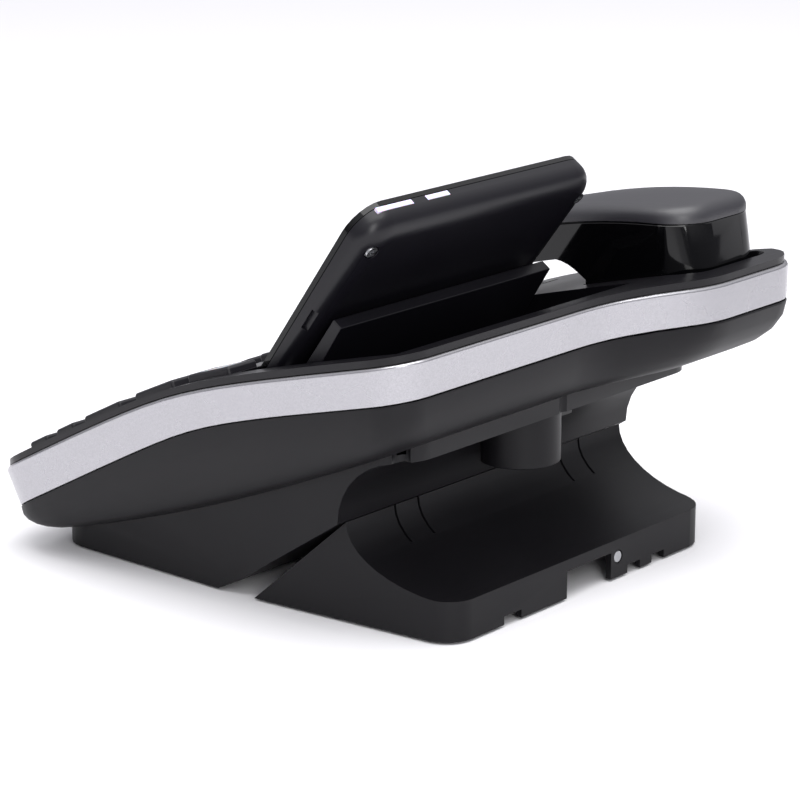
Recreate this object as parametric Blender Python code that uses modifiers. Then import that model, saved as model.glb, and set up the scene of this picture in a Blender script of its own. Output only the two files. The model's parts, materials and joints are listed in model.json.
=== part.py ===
"""Desk telephone base: silver-banded console with a tilting display, a lift-off arched handset,
sprung keys and a snap-on desk stand. Metres, +Z up; the user sits at -Y and the origin lies on
the table under the middle of the console."""
import math

import bmesh
import bpy
from mathutils import Matrix, Vector

mm = 0.001
GAP = 0.3 * mm                      # between pieces that touch

# ---- Console: plan outline and deck profile ----
BODY_WIDTH = 216 * mm
BODY_DEPTH = 229 * mm
REAR_STEP = 20 * mm                 # how far the handset bay bulges past the straight rear edge
STEP_FROM_SIDE = (104 * mm, 62 * mm) # the rear edge's S-bend, from the handset's side
FRONT_RADIUS = 18 * mm
REAR_RADIUS = 16 * mm
STEP_RADIUS = 50 * mm
DECK_FRONT_SLOPE = 0.54
DECK_REAR_SLOPE = 0.25
CREST_BEHIND_FRONT = 98 * mm        # where the two slopes would meet
CREST_Z = 82.8 * mm
CREST_EASE = 30 * mm
LEVEL_INSET = 13 * mm               # the deck turns level this far before the rear end
LEVEL_EASE = 8 * mm
CREASE_MIDDLE = 110 * mm            # behind the front edge
BAND_HEIGHT = 13.6 * mm
BAND_THICK = 3.4 * mm
BAND_FLARE = 2.4 * mm               # lower edge lies this far inside the upper one
DECK_THICK = 2.6 * mm
DECK_INSET = 1.3 * mm
WALL = 2.5 * mm

# ---- Lower housing ----
KEEL_SIDE_INSET = 21.5 * mm
CREASE_LEDGE = 1.5 * mm             # flank overhangs the keel wall by this
KEEL_FRONT_INSET = 15.5 * mm
KEEL_REAR_INSET = 15 * mm
KEEL_FLAT_LENGTH = 86.5 * mm
BASE_CLEARANCE = 1.0 * mm           # feet lift the mouldings off the table
SEAM_INSET = 47.6 * mm             # housing and stand meet this far inside the rear edge
SEAM_Z = 38.6 * mm
COVE_RISE = 28 * mm                 # cove above the seam
FLANGE = 8.4 * mm
BAY_HALF_WIDTH = 40 * mm
BAY_INSET = 42 * mm
BAY_TOP_Z = 71 * mm
TURRET_RADIUS = 15.5 * mm
TURRET_LOW_Z = 46 * mm

# ---- Desk stand ----
STAND_LENGTH = 87.7 * mm
STAND_REAR_INSET = 1.6 * mm
STAND_TAPER = 9 * mm                # each side, from the front to the rear lip
LIP_HEIGHT = 16.3 * mm
LIP_RADIUS = 12 * mm
CABLE_GAP = (27 * mm, 11.5 * mm)    # width, height
TAB_WIDTH = 13 * mm
TAB_X = 48.5 * mm
FOOT_RADIUS = 6 * mm
FOOT_HEIGHT = 2.4 * mm

# ---- Display ----
DISPLAY_TILT = math.radians(54.5)
HINGE_INSET = 64.1 * mm
HINGE_BELOW_DECK = 8.6 * mm
DISPLAY_SIDE_INSET = 14.2 * mm
DISPLAY_WIDTH = 127.8 * mm
DISPLAY_HEIGHT = 84.5 * mm
DISPLAY_BELOW_HINGE = 6 * mm
FACE_OFFSET = 15.5 * mm             # screen face in front of the hinge axis
BEZEL_THICK = 2.0 * mm
COVER_BACK = (6.6 * mm, 3.2 * mm)   # back of the cover at its lower and upper edge
DISPLAY_RADIUS = 12 * mm
WINDOW_BORDER = 11.9 * mm           # each side
WINDOW_HEIGHT = 60 * mm
HOUSING_INSET = 4.55 * mm           # each side
HOUSING_HEIGHT = 34.5 * mm
HINGE_PIN_RADIUS = 2.0 * mm
RUNNING = 0.3 * mm                  # pin to hole
TRAY_MARGIN = 3.2 * mm              # display side to tray wall
TRAY_BEFORE_HINGE = 20.9 * mm
TRAY_REAR_INSET = 11 * mm
TRAY_FLOOR_Z = 78.5 * mm

# ---- Handset ----
HANDSET_SIDE_INSET = 7 * mm
HANDSET_WIDTH = 50 * mm
HANDSET_INSET = (4 * mm, 12 * mm)    # from the console's front and rear
HANDSET_RADIUS = 16 * mm
CROWN_POINTS = ((9 * mm, 22.5 * mm), (8 * mm, 28 * mm))      # in from each end, above the deck edge
CROWN_SAG = 19.4 * mm
SHELL_DEPTH = 7 * mm
GRIP_DEPTH = 21 * mm
MOUTH_CUP = 34 * mm
EAR_CUP = 50 * mm
EAR_LEAN = 4 * mm                  # rear face leans forward towards its top
WELL_CLEARANCE = 1.2 * mm
WELL_WALL = 1.2 * mm
WELL_RADIUS = 10 * mm
MOUTH_LEAN = 7.5 * mm              # front end leans back towards its foot
WELL_DEPTH = 5 * mm                 # below the deck's top face
HANDSET_WALL = 2.2 * mm

# ---- Keys ----
KEY_PROUD = 2.5 * mm
KEY_DEEP = 3.2 * mm
KEY_CLEARANCE = 0.5 * mm
KEY_TRAVEL = 1.5 * mm
DIAL_KEY = (19 * mm, 13 * mm)
DIAL_PITCH = (23 * mm, 17.5 * mm)
DIAL_PLACE = (96 * mm, 57 * mm)     # from the handset's middle, from the front edge
LONG_KEY = (15 * mm, 22 * mm)
LONG_PITCH = 27.5 * mm
SHORT_KEY = (15 * mm, 11 * mm)
NAVIGATION_KEY = (30 * mm, 17 * mm)
VOLUME_KEY = (11 * mm, 26 * mm)
SIDE_KEY_INSET = 17 * mm
KEYS_BEFORE_HINGE = 33.4 * mm       # a slot's width in front of the display
MAT_THICK = 2 * mm

HALF_WIDTH = BODY_WIDTH / 2
FRONT_Y = -BODY_DEPTH / 2
REAR_Y = BODY_DEPTH / 2
STRAIGHT_REAR_Y = REAR_Y - REAR_STEP
STEP_X = [distance - HALF_WIDTH for distance in STEP_FROM_SIDE]
CREST_Y = FRONT_Y + CREST_BEHIND_FRONT

KEEL_HALF_WIDTH = HALF_WIDTH - KEEL_SIDE_INSET
KEEL_FRONT_Y = FRONT_Y + KEEL_FRONT_INSET
KEEL_REAR_Y = STRAIGHT_REAR_Y - KEEL_REAR_INSET
KEEL_FLAT_END_Y = KEEL_FRONT_Y + KEEL_FLAT_LENGTH
SEAM_Y = STRAIGHT_REAR_Y - SEAM_INSET
BAY_FRONT_Y = STRAIGHT_REAR_Y - BAY_INSET
TURRET_Y = KEEL_REAR_Y - WALL - 2 * GAP - TURRET_RADIUS
STAND_REAR_Y = STRAIGHT_REAR_Y - STAND_REAR_INSET
STAND_FRONT_Y = STAND_REAR_Y - STAND_LENGTH
STAND_REAR_HALF_WIDTH = KEEL_HALF_WIDTH - STAND_TAPER

HINGE_Y = STRAIGHT_REAR_Y - HINGE_INSET
DISPLAY_X = HALF_WIDTH - DISPLAY_SIDE_INSET - DISPLAY_WIDTH / 2
WINDOW_SIZE = (DISPLAY_WIDTH - 2 * WINDOW_BORDER, WINDOW_HEIGHT)
HOUSING_WIDTH = DISPLAY_WIDTH - 2 * HOUSING_INSET
TRAY_X = (DISPLAY_X - DISPLAY_WIDTH / 2 - TRAY_MARGIN, DISPLAY_X + DISPLAY_WIDTH / 2 + TRAY_MARGIN)
TRAY_Y = (HINGE_Y - TRAY_BEFORE_HINGE, STRAIGHT_REAR_Y - TRAY_REAR_INSET)

HANDSET_X = HANDSET_SIDE_INSET + HANDSET_WIDTH / 2 - HALF_WIDTH
HANDSET_Y = (FRONT_Y + HANDSET_INSET[0], REAR_Y - HANDSET_INSET[1])
CUP_FRONT_REAR_Y = HANDSET_Y[0] + MOUTH_CUP
CUP_REAR_FRONT_Y = HANDSET_Y[1] - EAR_CUP
WELL_X = (HANDSET_X - HANDSET_WIDTH / 2 - WELL_CLEARANCE, HANDSET_X + HANDSET_WIDTH / 2 + WELL_CLEARANCE)
WELLS = {"mouth": (HANDSET_Y[0] + MOUTH_LEAN / 2, CUP_FRONT_REAR_Y + WELL_CLEARANCE),
         "ear": (CUP_REAR_FRONT_Y - WELL_CLEARANCE, HANDSET_Y[1] + WELL_CLEARANCE)}

GRILLE_Y = CUP_FRONT_REAR_Y + 72 * mm

DIAL_CENTRE = (HANDSET_X + DIAL_PLACE[0], FRONT_Y + DIAL_PLACE[1])
SIDE_KEY_X = HALF_WIDTH - SIDE_KEY_INSET
LAST_LONG_KEY_Y = HINGE_Y - KEYS_BEFORE_HINGE

SCREW_PLACES = ((KEEL_HALF_WIDTH - 2.5 * mm, KEEL_REAR_Y - 5 * mm), (-2 * mm, KEEL_REAR_Y + 2.5 * mm))
FRONT_FEET = [(side * (KEEL_HALF_WIDTH - 16.5 * mm), KEEL_FRONT_Y + 14.5 * mm) for side in (1, -1)]
REAR_FEET = [(side * (STAND_REAR_HALF_WIDTH - 13.5 * mm), STAND_REAR_Y - 13.4 * mm) for side in (1, -1)]
STAND_SCREW = Vector((-20 * mm, STAND_REAR_Y, 9 * mm))
JACK_X = (-29 * mm, 29 * mm)
JACK_Z = 62 * mm

COLOURS = {
    "black_plastic": ((0.020, 0.020, 0.023), 0.45, 0.0),
    "deck_plastic": ((0.014, 0.014, 0.016), 0.38, 0.0),
    "silver_paint": ((0.62, 0.61, 0.64), 0.32, 0.85),
    "gloss_black": ((0.006, 0.006, 0.007), 0.06, 0.0),
    "key_plastic": ((0.030, 0.030, 0.034), 0.5, 0.0),
    "key_insert": ((0.45, 0.46, 0.48), 0.35, 0.0),
    "clear_window": ((0.02, 0.022, 0.025), 0.05, 0.0),
    "lcd_glass": ((0.25, 0.30, 0.26), 0.2, 0.0),
    "light_pipe": ((0.78, 0.76, 0.85), 0.3, 0.0),
    "rubber": ((0.012, 0.012, 0.012), 0.85, 0.0),
    "board": ((0.02, 0.12, 0.05), 0.5, 0.0),
    "steel": ((0.55, 0.55, 0.56), 0.3, 1.0),
    "gold": ((0.85, 0.62, 0.25), 0.25, 1.0),
    "paper_cone": ((0.03, 0.03, 0.03), 0.9, 0.0),
    "battery_wrap": ((0.10, 0.16, 0.35), 0.4, 0.0),
}


# ---------------------------------------------------------------- scene helpers
def clear_scene():
    for item in list(bpy.data.objects):
        bpy.data.objects.remove(item, do_unlink=True)


def collection(name):
    found = bpy.data.collections.new(name)
    bpy.context.scene.collection.children.link(found)
    return found


def material(name):
    found = bpy.data.materials.get(name)
    if found is None:
        colour, roughness, metallic = COLOURS[name]
        found = bpy.data.materials.new(name)
        found.use_nodes = True
        shader = found.node_tree.nodes["Principled BSDF"]
        shader.inputs["Base Color"].default_value = (*colour, 1.0)
        shader.inputs["Roughness"].default_value = roughness
        shader.inputs["Metallic"].default_value = metallic
    return found


def store(item, look=None):
    """Puts a finished piece with the parts, or, when it has no look, with the cutters."""
    for home in list(item.users_collection):
        home.objects.unlink(item)
    if look is None:
        CUTTERS.objects.link(item)
        item.hide_render = True
        item.display_type = "WIRE"
    else:
        PARTS.objects.link(item)
        item.data.materials.clear()
        item.data.materials.append(material(look))
    return item


def mesh_object(name, builder, look=None):
    mesh = bpy.data.meshes.new(name)
    builder.normal_update()
    builder.to_mesh(mesh)
    builder.free()
    item = bpy.data.objects.new(name, mesh)
    bpy.context.scene.collection.objects.link(item)
    return store(item, look)


def box(name, size, centre, look=None, bevel=0.0, turn=0.0):
    """Box of the given size, turned about its own X axis, with an optional edge bevel."""
    builder = bmesh.new()
    bmesh.ops.create_cube(builder, size=1.0)
    bmesh.ops.scale(builder, vec=Vector(size), verts=builder.verts)
    item = mesh_object(name, builder, look)
    item.location = centre
    item.rotation_euler.x = turn
    if bevel:
        edge = item.modifiers.new("edges", "BEVEL")
        edge.width = bevel
        edge.segments = 1
    return item


def cylinder(name, radius, span, centre, axis="Z", look=None, sides=24):
    builder = bmesh.new()
    bmesh.ops.create_cone(builder, cap_ends=True, segments=sides, radius1=radius,
                          radius2=radius, depth=span)
    turn = {"X": Matrix.Rotation(math.pi / 2, 3, "Y"), "Y": Matrix.Rotation(-math.pi / 2, 3, "X"),
            "Z": Matrix.Identity(3)}[axis]
    bmesh.ops.rotate(builder, matrix=turn, verts=builder.verts)
    item = mesh_object(name, builder, look)
    item.location = centre
    item.data.shade_smooth()
    item.data.set_sharp_from_angle(angle=math.radians(40))
    return item


def turned(name, profile, look=None, sides=28):
    """Solid of revolution about Z; the profile runs from the axis at the top to the axis below."""
    builder = bmesh.new()
    verts = [builder.verts.new((r, 0.0, z)) for r, z in profile]
    for first, second in zip(verts, verts[1:]):
        builder.edges.new((first, second))
    item = mesh_object(name, builder, look)
    screw = item.modifiers.new("turn", "SCREW")
    screw.steps = sides
    screw.render_steps = sides
    screw.use_merge_vertices = True
    screw.merge_threshold = 0.00001
    return item


def outline_prism(name, outline, low, high, frame, look=None, hole=None):
    """Flat outline extruded between two heights of its own frame."""
    curve = bpy.data.curves.new(name, "CURVE")
    curve.dimensions = "2D"
    curve.fill_mode = "BOTH"
    curve.extrude = (high - low) / 2
    for loop in (outline, hole):
        if loop is None:
            continue
        spline = curve.splines.new("POLY")
        spline.points.add(len(loop) - 1)
        for point, place in zip(spline.points, loop):
            point.co = (place[0], place[1], 0.0, 1.0)
        spline.use_cyclic_u = True
    guide = bpy.data.objects.new(name + "_curve", curve)
    bpy.context.scene.collection.objects.link(guide)
    bpy.context.view_layer.update()
    mesh = bpy.data.meshes.new_from_object(guide.evaluated_get(bpy.context.evaluated_depsgraph_get()))
    bpy.data.objects.remove(guide)
    builder = bmesh.new()
    builder.from_mesh(mesh)
    bpy.data.meshes.remove(mesh)
    bmesh.ops.remove_doubles(builder, verts=builder.verts, dist=0.00001)
    bmesh.ops.translate(builder, vec=(0, 0, (low + high) / 2), verts=builder.verts)
    bmesh.ops.transform(builder, matrix=frame, verts=builder.verts)
    bmesh.ops.recalc_face_normals(builder, faces=builder.faces)
    return mesh_object(name, builder, look)


def prism_z(name, outline, low, high, look=None, hole=None):
    return outline_prism(name, outline, low, high, Matrix.Identity(4), look, hole)


def prism_x(name, outline, low, high, look=None):
    """The outline is given as (y, z) and extruded along X."""
    frame = Matrix(((0, 0, 1, 0), (1, 0, 0, 0), (0, 1, 0, 0), (0, 0, 0, 1)))
    return outline_prism(name, outline, low, high, frame, look)


def combine(item, other, operation):
    step = item.modifiers.new(operation.lower(), "BOOLEAN")
    step.operation = operation
    step.object = other
    return item


def cut(item, *others):
    for other in others:
        combine(item, other, "DIFFERENCE")
    return item


def add(item, *others):
    for other in others:
        combine(item, other, "UNION")
    return item


def keep_inside(item, other):
    return combine(item, other, "INTERSECT")


# ---------------------------------------------------------------- outlines
def rounded(corners, steps=6):
    """Closed outline through (a, b, radius) corners, each one turned by an arc."""
    points = []
    for index, (a, b, radius) in enumerate(corners):
        corner = Vector((a, b))
        if radius == 0:
            points.append(corner)
            continue
        back = (Vector(corners[index - 1][:2]) - corner).normalized()
        ahead = (Vector(corners[(index + 1) % len(corners)][:2]) - corner).normalized()
        half = back.angle(ahead) / 2
        turn = math.pi - 2 * half
        centre = corner + (back + ahead).normalized() * radius / math.sin(half)
        start = corner + back * radius / math.tan(half) - centre
        end = corner + ahead * radius / math.tan(half) - centre
        for step in range(steps + 1):
            share = step / steps
            swing = start * math.sin((1 - share) * turn) + end * math.sin(share * turn)
            points.append(centre + swing / math.sin(turn))
    return points


def rectangle(x0, x1, y0, y1, radius=0.0):
    return rounded([(x0, y0, radius), (x1, y0, radius), (x1, y1, radius), (x0, y1, radius)])


def inset(outline, distance):
    """Moves each edge of a counter-clockwise outline inwards and meets them again."""
    points = []
    for index, point in enumerate(outline):
        point = Vector(point)
        back = (point - Vector(outline[index - 1])).normalized()
        ahead = (Vector(outline[(index + 1) % len(outline)]) - point).normalized()
        left_back = Vector((-back.y, back.x))
        left_ahead = Vector((-ahead.y, ahead.x))
        points.append(point + (left_back + left_ahead) * distance / (1 + left_back.dot(left_ahead)))
    return points


def split_long(outline, longest):
    """Adds points along edges that run far in depth, so they can follow the deck's curve."""
    points = []
    for index, point in enumerate(outline):
        ahead = outline[(index + 1) % len(outline)]
        pieces = max(1, math.ceil(abs(ahead.y - point.y) / longest))
        points += [point.lerp(ahead, piece / pieces) for piece in range(pieces)]
    return points


def spread(first, last, count):
    return [first + (last - first) * index / count for index in range(count + 1)]


def deck_parts(y):
    return y - CREST_Y, y - (REAR_Y - LEVEL_INSET)


def deck_z(y):
    """Height of the band's upper edge: a steep front slope, a shallow one, and a level rear end."""
    crest, level = deck_parts(y)
    mean = (DECK_FRONT_SLOPE + DECK_REAR_SLOPE) / 2
    bend = (DECK_FRONT_SLOPE - DECK_REAR_SLOPE) / 2
    levelled = DECK_REAR_SLOPE / 2 * (level + math.hypot(level, LEVEL_EASE))
    return CREST_Z + mean * crest - bend * math.hypot(crest, CREST_EASE) - levelled


def deck_slope(y):
    crest, level = deck_parts(y)
    mean = (DECK_FRONT_SLOPE + DECK_REAR_SLOPE) / 2
    bend = (DECK_FRONT_SLOPE - DECK_REAR_SLOPE) / 2
    levelled = DECK_REAR_SLOPE / 2 * (1 + level / math.hypot(level, LEVEL_EASE))
    return mean - bend * crest / math.hypot(crest, CREST_EASE) - levelled


def deck_point(x, y, above=0.0):
    """Point above the deck's top face, measured square to it."""
    angle = math.atan(deck_slope(y))
    lift = DECK_THICK + GAP + above
    return Vector((x, y - lift * math.sin(angle), deck_z(y) + lift * math.cos(angle)))


def crease_z(y):
    """Height of the line where the flank meets the keel wall; it steepens towards the rear."""
    along = y - FRONT_Y - CREASE_MIDDLE
    return 36.9 * mm + 0.385 * along + 0.6 * along * along


def plan_outline(longest=10 * mm, steps=6):
    corners = [(HALF_WIDTH, FRONT_Y, FRONT_RADIUS), (HALF_WIDTH, STRAIGHT_REAR_Y, REAR_RADIUS),
               (STEP_X[0], STRAIGHT_REAR_Y, STEP_RADIUS), (STEP_X[1], REAR_Y, STEP_RADIUS),
               (-HALF_WIDTH, REAR_Y, FRONT_RADIUS), (-HALF_WIDTH, FRONT_Y, FRONT_RADIUS)]
    return split_long(rounded(corners, steps), longest)


def slab(name, low, high, y0, y1, look=None, x0=-HALF_WIDTH, x1=HALF_WIDTH):
    """Layer that follows the deck between two heights measured from the band's upper edge."""
    stations = spread(y0, y1, 28)
    lower = [(y, deck_z(y) + low) for y in stations]
    upper = [(y, deck_z(y) + high) for y in reversed(stations)]
    return prism_x(name, lower + upper, x0, x1, look)


# ---------------------------------------------------------------- console
def console_ring(outline, inner, drop):
    """Ring below the deck edge; the wall leans back towards the front tip and the level rear end."""
    ring = []
    for point in inset(outline, inner):
        slope = deck_slope(point.y)
        lean = drop * abs(slope - DECK_REAR_SLOPE)
        ring.append(Vector((point.x, point.y + lean, deck_z(point.y) - drop * math.hypot(1, slope))))
    return ring


def keel_ring(outline, extra):
    """The outline squeezed onto the keel, `extra` outside its wall, at crease height."""
    front = KEEL_FRONT_Y - extra
    rear = KEEL_REAR_Y + extra
    ring = []
    for edge in outline:
        x = edge.x * (KEEL_HALF_WIDTH + extra) / HALF_WIDTH
        share = (min(edge.y, STRAIGHT_REAR_Y) - FRONT_Y) / (STRAIGHT_REAR_Y - FRONT_Y)
        y = front + (rear - front) * share + max(0.0, edge.y - STRAIGHT_REAR_Y) * 0.1
        ring.append(Vector((x, y, crease_z(y))))
    return ring


def loft(name, rings, closed, look=None):
    """Skins equal-count rings; a closed loft joins the last ring to the first."""
    builder = bmesh.new()
    rows = [[builder.verts.new(point) for point in ring] for ring in rings]
    pairs = list(zip(rows, rows[1:]))
    if closed:
        pairs.append((rows[-1], rows[0]))
    for upper, lower in pairs:
        for index in range(len(upper)):
            after = (index + 1) % len(upper)
            builder.faces.new((lower[index], lower[after], upper[after], upper[index]))
    item = mesh_object(name, builder, look)
    item.data.shade_smooth()
    item.data.set_sharp_from_angle(angle=math.radians(35))
    return item


def silver_band():
    outline = plan_outline()
    chamfer = 0.8 * mm
    rings = [console_ring(outline, chamfer, 0.0), console_ring(outline, 0.0, chamfer),
             console_ring(outline, BAND_FLARE, BAND_HEIGHT),
             console_ring(outline, BAND_FLARE + BAND_THICK, BAND_HEIGHT),
             console_ring(outline, BAND_THICK, 0.0)]
    return loft("silver_band", rings, True, "silver_paint")


def keel_profile():
    """Side view of the keel as (y, z): flat foot, sloping underside, cove, skirt, crease."""
    cove = [(KEEL_REAR_Y - (KEEL_REAR_Y - SEAM_Y) * math.cos(t), SEAM_Z + COVE_RISE * math.sin(t))
            for t in spread(0.0, math.pi / 2, 8)]
    top = [(y, crease_z(y) + WALL / 2) for y in spread(KEEL_REAR_Y, KEEL_FRONT_Y, 12)]
    return ([(KEEL_FRONT_Y + 3.5 * mm, BASE_CLEARANCE), (KEEL_FLAT_END_Y, BASE_CLEARANCE),
             (KEEL_FLAT_END_Y + 10 * mm, 6 * mm)] + cove + top)


def raised(profile, height):
    """The profile with its crease line lifted, for a cutter that must leave by the top."""
    top = len(profile) - 13
    return profile[:top] + [(y, z + height) for y, z in profile[top:]]


def lower_housing():
    outline = plan_outline()
    start = console_ring(outline, BAND_FLARE, BAND_HEIGHT + 1 * mm)
    crease = keel_ring(outline, CREASE_LEDGE)
    rings = [console_ring(outline, BAND_FLARE, BAND_HEIGHT - 1 * mm)]
    for angle in spread(0.0, math.pi / 2, 6):
        across = 1 - math.cos(angle)
        down = math.sin(angle)
        rings.append([Vector((a.x + (b.x - a.x) * across, a.y + (b.y - a.y) * across,
                              a.z + (b.z - a.z) * down)) for a, b in zip(start, crease)])
    rings.append(keel_ring(outline, -FLANGE))
    housing = loft("lower_housing", rings, False, "black_plastic")
    shell = housing.modifiers.new("wall", "SOLIDIFY")
    shell.thickness = WALL
    shell.offset = -1.0
    shell.use_even_offset = True

    profile = keel_profile()
    plan = rectangle(-KEEL_HALF_WIDTH, KEEL_HALF_WIDTH, KEEL_FRONT_Y, KEEL_REAR_Y, 13 * mm)
    keel = prism_x("keel_form", profile, -KEEL_HALF_WIDTH - WALL, KEEL_HALF_WIDTH + WALL)
    keep_inside(keel, prism_z("keel_plan", plan, 0.0, BODY_WIDTH))
    bay_block = box("bay_block", (2 * (BAY_HALF_WIDTH + WALL), 28 * mm, 28 * mm),
                    (0, BAY_FRONT_Y + 11.5 * mm, BAY_TOP_Z - 11.5 * mm))
    keep_inside(bay_block, keel)
    hollow = prism_x("keel_hollow", raised(inset(profile, WALL), 12 * mm),
                     -KEEL_HALF_WIDTH - WALL, KEEL_HALF_WIDTH + WALL)
    keep_inside(hollow, prism_z("keel_hollow_plan", inset(plan, WALL), 0.0, BODY_WIDTH))
    cut(hollow, bay_block)
    towers = [cylinder(f"screw_tower_{n}", 5 * mm, 14 * mm, (x, y, crease_z(y) + 9 * mm))
              for n, (x, y) in enumerate(SCREW_PLACES)]
    add(housing, keel, *towers)
    cut(housing, hollow)
    bay = box("bay", (2 * BAY_HALF_WIDTH, KEEL_REAR_Y - WALL - BAY_FRONT_Y, 60 * mm),
              (0, (KEEL_REAR_Y - WALL + BAY_FRONT_Y) / 2, BAY_TOP_Z - 30 * mm))
    pockets = [cylinder(f"screw_pocket_{n}", 3.4 * mm, 20 * mm, (x, y, crease_z(y) - 2 * mm))
               for n, (x, y) in enumerate(SCREW_PLACES)]
    recesses = [cylinder(f"front_foot_recess_{n}", FOOT_RADIUS + GAP, 4 * mm,
                         (x, y, FOOT_HEIGHT + GAP - 2 * mm)) for n, (x, y) in enumerate(FRONT_FEET)]
    cut(housing, bay, *pockets, *recesses)
    for name, half, x in (("line_jack_hole", 7.3 * mm, JACK_X[0]), ("power_jack_hole", 5.3 * mm, JACK_X[1])):
        cut(housing, box(name, (2 * half, 14 * mm, 2 * half), (x, BAY_FRONT_Y - 1 * mm, JACK_Z)))
    corners = ((-3 * mm, BAND_HEIGHT + GAP), (8 * mm, BAND_HEIGHT + GAP), (8 * mm, 0.0), (-3 * mm, 0.0))
    space = plan_outline(7 * mm, 7)     # its points keep clear of the housing's own
    cut(housing, loft("band_space", [console_ring(space, *corner) for corner in corners], True))


def jacks_and_turret():
    line = box("line_jack", (14 * mm, 13 * mm, 14 * mm), (JACK_X[0], BAY_FRONT_Y - 1 * mm, JACK_Z),
               "gloss_black")
    cut(line, box("line_socket", (10 * mm, 12 * mm, 8 * mm),
                  (JACK_X[0], BAY_FRONT_Y + 2 * mm, JACK_Z)))
    power = cylinder("power_jack", 5 * mm, 13 * mm, (JACK_X[1], BAY_FRONT_Y - 1 * mm, JACK_Z), "Y",
                     "gloss_black")
    cut(power, cylinder("power_socket", 2.8 * mm, 12 * mm, (JACK_X[1], BAY_FRONT_Y + 2 * mm, JACK_Z), "Y"))
    top = BAY_TOP_Z - GAP
    turret = cylinder("bay_turret", TURRET_RADIUS, top - TURRET_LOW_Z,
                      (0, TURRET_Y, (top + TURRET_LOW_Z) / 2), "Z", "black_plastic", 36)
    front_cut = box("turret_flat", (60 * mm, 20 * mm, 40 * mm),
                    (0, BAY_FRONT_Y + GAP - 10 * mm, TURRET_LOW_Z + 14 * mm))
    cut(turret, front_cut)
    cut(turret, cylinder("turret_hole", 4 * mm, 16 * mm, (0, TURRET_Y, TURRET_LOW_Z)))


def stand_profile():
    rear = STAND_REAR_Y
    cove = [(rear - (rear - SEAM_Y) * math.cos(t), SEAM_Z - GAP - (SEAM_Z - LIP_HEIGHT) * math.sin(t))
            for t in spread(math.pi / 2, 0.0, 10)]
    return [(STAND_FRONT_Y, BASE_CLEARANCE), (rear, BASE_CLEARANCE)] + cove


def desk_stand():
    profile = stand_profile()
    plan = rounded([(KEEL_HALF_WIDTH, STAND_FRONT_Y - 4 * mm, 0),
                    (STAND_REAR_HALF_WIDTH, STAND_REAR_Y, LIP_RADIUS),
                    (-STAND_REAR_HALF_WIDTH, STAND_REAR_Y, LIP_RADIUS),
                    (-KEEL_HALF_WIDTH, STAND_FRONT_Y - 4 * mm, 0)])
    reach = KEEL_HALF_WIDTH + WALL
    stand = prism_x("desk_stand", profile, -reach, reach, "black_plastic")
    keep_inside(stand, prism_z("stand_plan", plan, -WALL, SEAM_Z * 2))
    inner = inset(profile, WALL)
    lowest = min(z for y, z in inner)
    open_below = [(y, z - 2 * WALL if z - lowest < 0.5 * mm else z) for y, z in inner]
    hollow = prism_x("stand_hollow", open_below, -reach, reach)
    keep_inside(hollow, prism_z("stand_hollow_plan", inset(plan, WALL), -WALL * 3, SEAM_Z * 2))
    for n, (x, y) in enumerate(REAR_FEET):
        cut(hollow, cylinder(f"foot_tower_{n}", FOOT_RADIUS + 3 * mm, 60 * mm, (x, y, 0)))
    cut(stand, hollow)
    for n, (x, y) in enumerate(REAR_FEET):
        cut(stand, cylinder(f"rear_foot_recess_{n}", FOOT_RADIUS + GAP, 4 * mm,
                            (x, y, FOOT_HEIGHT + GAP - 2 * mm)))
    cut(stand, box("cable_gap", (CABLE_GAP[0], 16 * mm, 2 * CABLE_GAP[1]), (-2 * mm, STAND_REAR_Y, 0)))
    for n, (x, width) in enumerate(((43.5 * mm, 10 * mm), (-30 * mm, 8 * mm), (-45.5 * mm, 8 * mm))):
        cut(stand, box(f"cord_notch_{n}", (width, 12 * mm, 2 * 4.2 * mm), (x, STAND_REAR_Y, 0)))
    for side in (-1, 1):
        for edge in (-1, 1):
            x = side * TAB_X + edge * TAB_WIDTH / 2
            cut(stand, box(f"tab_slit_{side}_{edge}", (1.1 * mm, 26 * mm, 16 * mm),
                           (x, SEAM_Y + 4 * mm, SEAM_Z - 5 * mm)))
    cut(stand, cylinder("stand_screw_hole", 2.6 * mm, 8 * mm, STAND_SCREW, "Y"))
    cylinder("stand_screw", 2.3 * mm, 3.0 * mm, STAND_SCREW - Vector((0, 1.7 * mm, 0)), "Y", "steel", 16)
    return stand


def feet():
    for group, places in (("front", FRONT_FEET), ("rear", REAR_FEET)):
        for side, (x, y) in zip(("right", "left"), places):
            cylinder(f"{group}_foot_{side}", FOOT_RADIUS, FOOT_HEIGHT, (x, y, FOOT_HEIGHT / 2), "Z",
                     "rubber", 20)


def housing_screws():
    for side, (x, y) in zip(("right", "middle"), SCREW_PLACES):
        top = crease_z(y) + 8 * mm - GAP
        cylinder(f"housing_screw_{side}", 2.8 * mm, 3 * mm, (x, y, top - 1.5 * mm), "Z", "steel", 16)


# ---------------------------------------------------------------- top deck
HINGE_Z = deck_z(HINGE_Y) - HINGE_BELOW_DECK


def tray_profile(grow):
    """Tray under the display as (y, z): level under the hinge, then rising with the deck."""
    front, rear = TRAY_Y[0] - grow, TRAY_Y[1] + grow
    turn = HINGE_Y + 8 * mm
    floor = TRAY_FLOOR_Z - grow
    rear_floor = deck_z(TRAY_Y[1]) - 9 * mm - grow
    top = DECK_THICK / 2 if grow else 20 * mm
    rim = [(y, deck_z(y) + top) for y in spread(rear, front, 6)]
    return [(front, floor), (turn, floor), (rear, rear_floor)] + rim


def well_profile(name, grow):
    y0, y1 = WELLS[name]
    low = DECK_THICK + GAP - WELL_DEPTH - grow
    top = DECK_THICK / 2 if grow else 20 * mm
    stations = spread(y0 - grow, y1 + grow, 8)
    return [(y, deck_z(y) + low) for y in stations] + [(y, deck_z(y) + top) for y in reversed(stations)]


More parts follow.
